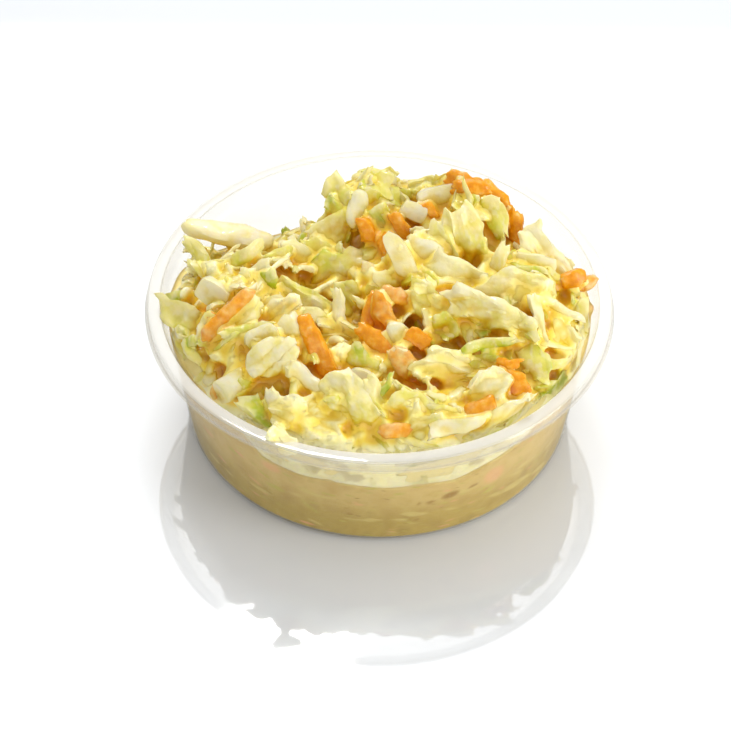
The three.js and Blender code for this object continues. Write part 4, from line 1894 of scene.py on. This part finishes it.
@dataclass
class Cup:
    """The clear cup: a lathe-turned wall with a rounded foot, a stacking ledge and a flat flanged rim."""

    height: float = 37.5
    wall: float = 0.45
    base_radius: float = 49.0
    corner: float = 2.5
    foot_width: float = 2.4
    foot_recess: float = 0.5
    ledge_radius: float = 53.1
    ledge_depth: float = 3.9
    ledge_width: float = 0.6
    mouth_radius: float = 54.7
    rim_width: float = 3.1
    rim_radius: float = 58.5
    skirt_drop: float = 3.0
    sectors: int = 288

    def profile(self) -> Array:
        """Draws the closed profile, up the outside and down the inside.

        Returns:
            Radii and heights in millimetres.
        """
        w = self.wall
        corner_r = self.base_radius - self.corner
        foot_in = corner_r - self.foot_width
        top = self.height
        ledge = top - self.ledge_depth
        under = self.ledge_radius - self.ledge_width
        brow = self.mouth_radius + self.rim_width
        hem = top - self.skirt_drop
        path: list[tuple[float, float]] = [(0.0, self.foot_recess), (foot_in, self.foot_recess)]
        path += [(foot_in + 0.35, 0.12), (foot_in + 0.7, 0.0)]
        path += self._arc(corner_r, self.corner, self.corner, -90, 0, 7)
        path += [(under + w, ledge - w), (self.ledge_radius + w, ledge - w / 2)]
        path += [(self.mouth_radius, top - w), (brow - w, top - w), (self.rim_radius - w, hem + 0.2)]
        path += self._arc(self.rim_radius - w / 2, hem + 0.2, w / 2, 180, 360, 6)
        path += self._arc(brow - 0.45, top - 0.45, 0.45, 15, 90, 5)
        path += self._arc(self.mouth_radius + 0.25, top - 0.3, 0.3, 90, 180, 4)
        path += [(self.ledge_radius, ledge + 0.15), (self.ledge_radius - 0.15, ledge), (under + 0.1, ledge)]
        path += [(under, ledge - 0.15)]
        path += self._arc(corner_r, self.corner, self.corner - w, 0, -80, 6)
        path += [(foot_in - w, self.foot_recess + w), (0.0, self.foot_recess + w)]
        return np.array(path)

    @staticmethod
    def _arc(
        r: float, z: float, radius: float, start: float, end: float, steps: int
    ) -> list[tuple[float, float]]:
        """Returns points round an arc, given its centre, radius and angles in degrees."""
        turns = np.radians(np.linspace(start, end, steps + 1))
        return [(r + radius * math.cos(t), z + radius * math.sin(t)) for t in turns]

    def build(self, material: bpy.types.Material) -> bpy.types.Object:
        """Turns the profile into the cup.

        Args:
            material: The clear plastic.

        Returns:
            The cup.
        """
        path = self._refined(self.profile())
        turn = np.arange(self.sectors) * math.tau / self.sectors
        rings = path[1:-1]
        n = self.sectors
        circles = [np.column_stack([r * np.cos(turn), r * np.sin(turn), np.full(n, z)]) for r, z in rings]
        poles = np.array([[0, 0, path[0, 1]], [0, 0, path[-1, 1]]])
        points = np.concatenate([*circles, poles])
        first = len(rings) * n
        fans = []
        last = (len(rings) - 1) * n
        for i in range(0, n, 2):
            fans.append([first, (i + 2) % n, i + 1, i])
            fans.append([first + 1, last + i, last + i + 1, last + (i + 2) % n])
        quads = np.concatenate([ring_quads(len(rings), n), np.array(fans)])
        return mesh_object("clear_cup", points, quads, material)

    @staticmethod
    def _refined(path: Array) -> Array:
        """Splits the profile's long straights so that the turned faces stay even.

        Args:
            path: Radii and heights.

        Returns:
            The same profile with more points.
        """
        out = [path[0]]
        for a, b in zip(path[:-1], path[1:]):
            steps = max(1, int(np.hypot(*(b - a)) / 4.0))
            out += [a + (b - a) * i / steps for i in range(1, steps + 1)]
        return np.array(out)


# ---------------------------------------------------------------- studio


@dataclass
class Studio:
    """A glossy white sheet under soft lights, and the camera."""

    lens_mm: float = 120.3
    distance: float = 625.5
    elevation: float = 44.08
    roll: float = 0.586
    target: tuple[float, float, float] = (-3.38, 0.0, 12.94)

    def camera(self) -> None:
        """Sets the camera in front of the cup, looking down on it."""
        lens = bpy.data.cameras.new("camera")
        lens.lens = self.lens_mm
        lens.sensor_width = 36.0
        lens.clip_start = 0.01
        lens.clip_end = 20.0
        seen = bpy.data.objects.new("camera", lens)
        bpy.context.scene.collection.objects.link(seen)
        tilt = math.radians(self.elevation)
        back = Vector((0, -math.cos(tilt), math.sin(tilt)))
        seen.location = (Vector(self.target) + back * self.distance) * MM
        aim = (-back).to_track_quat("-Z", "Y")
        seen.rotation_euler = (aim.to_matrix() @ Matrix.Rotation(math.radians(self.roll), 3, "Z")).to_euler()
        bpy.context.scene.camera = seen

    def floor(self) -> None:
        """Lays the glossy sheet that the cup stands on."""
        half = 1500.0
        corners = np.array([[-half, -half, 0], [half, -half, 0], [half, half, 0], [-half, half, 0]])
        sheet = mesh_object("floor", corners, np.array([[0, 1, 2, 3]]), WhiteAcrylicSheet().make())

    def lights(self) -> None:
        """Hangs the soft lights and sets the pale surroundings."""
        scene = bpy.context.scene
        world = bpy.data.worlds.new("surroundings")
        scene.world = world
        world.use_nodes = True
        world.node_tree.nodes.clear()
        sky = add_node(world.node_tree, "ShaderNodeBackground", Color=(1, 1, 1, 1), Strength=0.64)
        add_node(world.node_tree, "ShaderNodeOutputWorld", Surface=sky.outputs["Background"])
        self._soft_light("back_panel", (0, 520, 520), 420, 1.45)
        self._soft_light("overhead", (0, -80, 650), 400, 0.35)
        self._soft_light("front_fill", (-40, -640, 170), 400, 1.0)
        self._soft_light("side_fill", (580, -230, 200), 320, 2.45)
        self._soft_light("key", (-60, 330, 560), 110, 1.5)
        scene.view_settings.view_transform = "Standard"
        scene.cycles.use_denoising = True

    def _soft_light(self, name: str, place: tuple[float, float, float], size: float, watts: float) -> None:
        """Hangs one square soft light that looks at the cup.

        Args:
            name: The light's name.
            place: Where it hangs, in millimetres.
            size: Its side, in millimetres.
            watts: Its power.
        """
        lamp = bpy.data.lights.new(name, "AREA")
        lamp.energy = watts
        lamp.size = size * MM
        hung = bpy.data.objects.new(name, lamp)
        hung.location = Vector(place) * MM
        hung.rotation_euler = (-Vector(place)).to_track_quat("-Z", "Y").to_euler()
        bpy.context.scene.collection.objects.link(hung)


# ---------------------------------------------------------------- putting it together


@dataclass
class Coleslaw:
    """The heap of coleslaw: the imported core, the shreds that show and the dressing that binds them."""

    heap: Heap
    spread: float = 0.8
    bed_rise: float = 2.2
    buried: float = 0.9
    crisp: float = 48.0

    def build(self) -> list[bpy.types.Object]:
        """Builds and dresses every piece.

        Returns:
            The core, one piece for each cut, and the dressing.
        """
        core = Core(self.heap)
        pieces = [self._packed(core)]
        salad = Salad(self.heap)
        salad.build()
        mixed = salad.everything()
        cream = spread_numbers(mixed.points, mixed.tints[:, 1], self.spread, elsewhere=0.6)
        points, quads, shelter = self._skin(core, mixed, cream)
        for cut, soup in salad.heaps.items():
            pieces.append(self._shreds(cut, soup, shelter))
        dressing = mesh_object("creamy_dressing", points, quads, CreamyDressing().make())
        green = spread_numbers(mixed.points, mixed.tints[:, 0], self.spread).read(points)
        orange = smoothstep(0.2, 0.8, spread_numbers(mixed.points, mixed.orange, self.spread).read(points))
        set_numbers(dressing, green=green, cream=cream.read(points), orange=orange)
        # deep and fold drive the painted shade in gaps and folds, and the painted light on crests.
        set_numbers(dressing, deep=shelter.read(points), fold=shelter.folds(points))
        return pieces + [dressing]

    def _packed(self, core: Core) -> bpy.types.Object:
        """Builds the core and marks what shows on it.

        Args:
            core: Its shape.

        Returns:
            The core's piece.
        """
        points, quads = core.build()
        packed = mesh_object("packed_core", points, quads, PackedSlaw().make())
        set_numbers(packed, **{kind: Core.marked(points, kind) for kind in ("green", "carrot", "bubble_shade")})
        radius = np.hypot(points[:, 0], points[:, 1])
        off_wall = self.heap.wall_radius(points[:, 2]) + core.into_wall - radius
        round_wall = np.arctan2(points[:, 0], -points[:, 1]) * WALL_RADIUS * MM
        set_numbers(packed, lid=smoothstep(0.05, 0.4, off_wall) * (points[:, 2] > 4), round_wall=round_wall)
        return packed

    def _skin(self, core: Core, mixed: Mixed, cream: Block) -> tuple[Array, Array, Shelter]:
        """Runs dressing between the shreds and the core, and leaves out what can't be seen of it.

        Args:
            core: The core's shape.
            mixed: All the shreds.
            cream: How thickly each place is coated.

        Returns:
            The dressing's vertices and quads, and the measure of how sheltered places are.
        """
        bed, bed_quads = replace(core, depth=core.depth - self.bed_rise).build()
        solids = np.concatenate([bed, mixed.points])
        solid_quads = np.concatenate([bed_quads, mixed.quads + len(bed)])
        points, quads, shelter = Dressing().build(solids, solid_quads, cream)
        hidden = core.hides(points) | (shelter.wide.read(points) > self.buried)
        points, quads, _ = without(points, quads, hidden)
        return self.heap.kept_inside(points), quads, shelter

    def _shreds(self, cut: Cut, soup: Soup, shelter: Shelter) -> bpy.types.Object:
        """Makes one piece of all the shreds of a cut.

        Args:
            cut: Their kind.
            soup: Their meshes.
            shelter: How sheltered places are.

        Returns:
            The piece.
        """
        points, quads, tints = soup.joined()
        finish = RawCarrot() if cut in CARROT else RawCabbageLeaf()
        piece = mesh_object(PIECE_NAMES[cut], points, quads, finish.make(), crisp=self.crisp)
        set_numbers(piece, green=tints[:, 0], cream=tints[:, 1])
        # deep and fold drive the painted shade in gaps and folds, and the painted light on crests.
        set_numbers(piece, deep=shelter.read(points), fold=shelter.folds(points))
        return piece


def hand_over(piece: bpy.types.Object, node: str) -> None:
    """Tells the frame what a piece rides on, and hides the CAD node that it stands for.

    Args:
        piece: The finished object.
        node: The CAD node that it replaces.
    """
    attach(piece, "root")
    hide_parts(node)
    LOG.info("%s: %d faces", piece.name, len(piece.data.polygons))


def main() -> None:
    """Builds the studio, the cup and the coleslaw, in that order."""
    logging.basicConfig(level=logging.INFO, format="%(name)s: %(message)s")
    studio = Studio()
    studio.camera()
    studio.floor()
    studio.lights()
    hand_over(Cup().build(ClearPolypropylene().make()), "cup")
    for piece in Coleslaw(Heap()).build():
        hand_over(piece, "coleslaw")


if __name__ == "__main__":
    main()
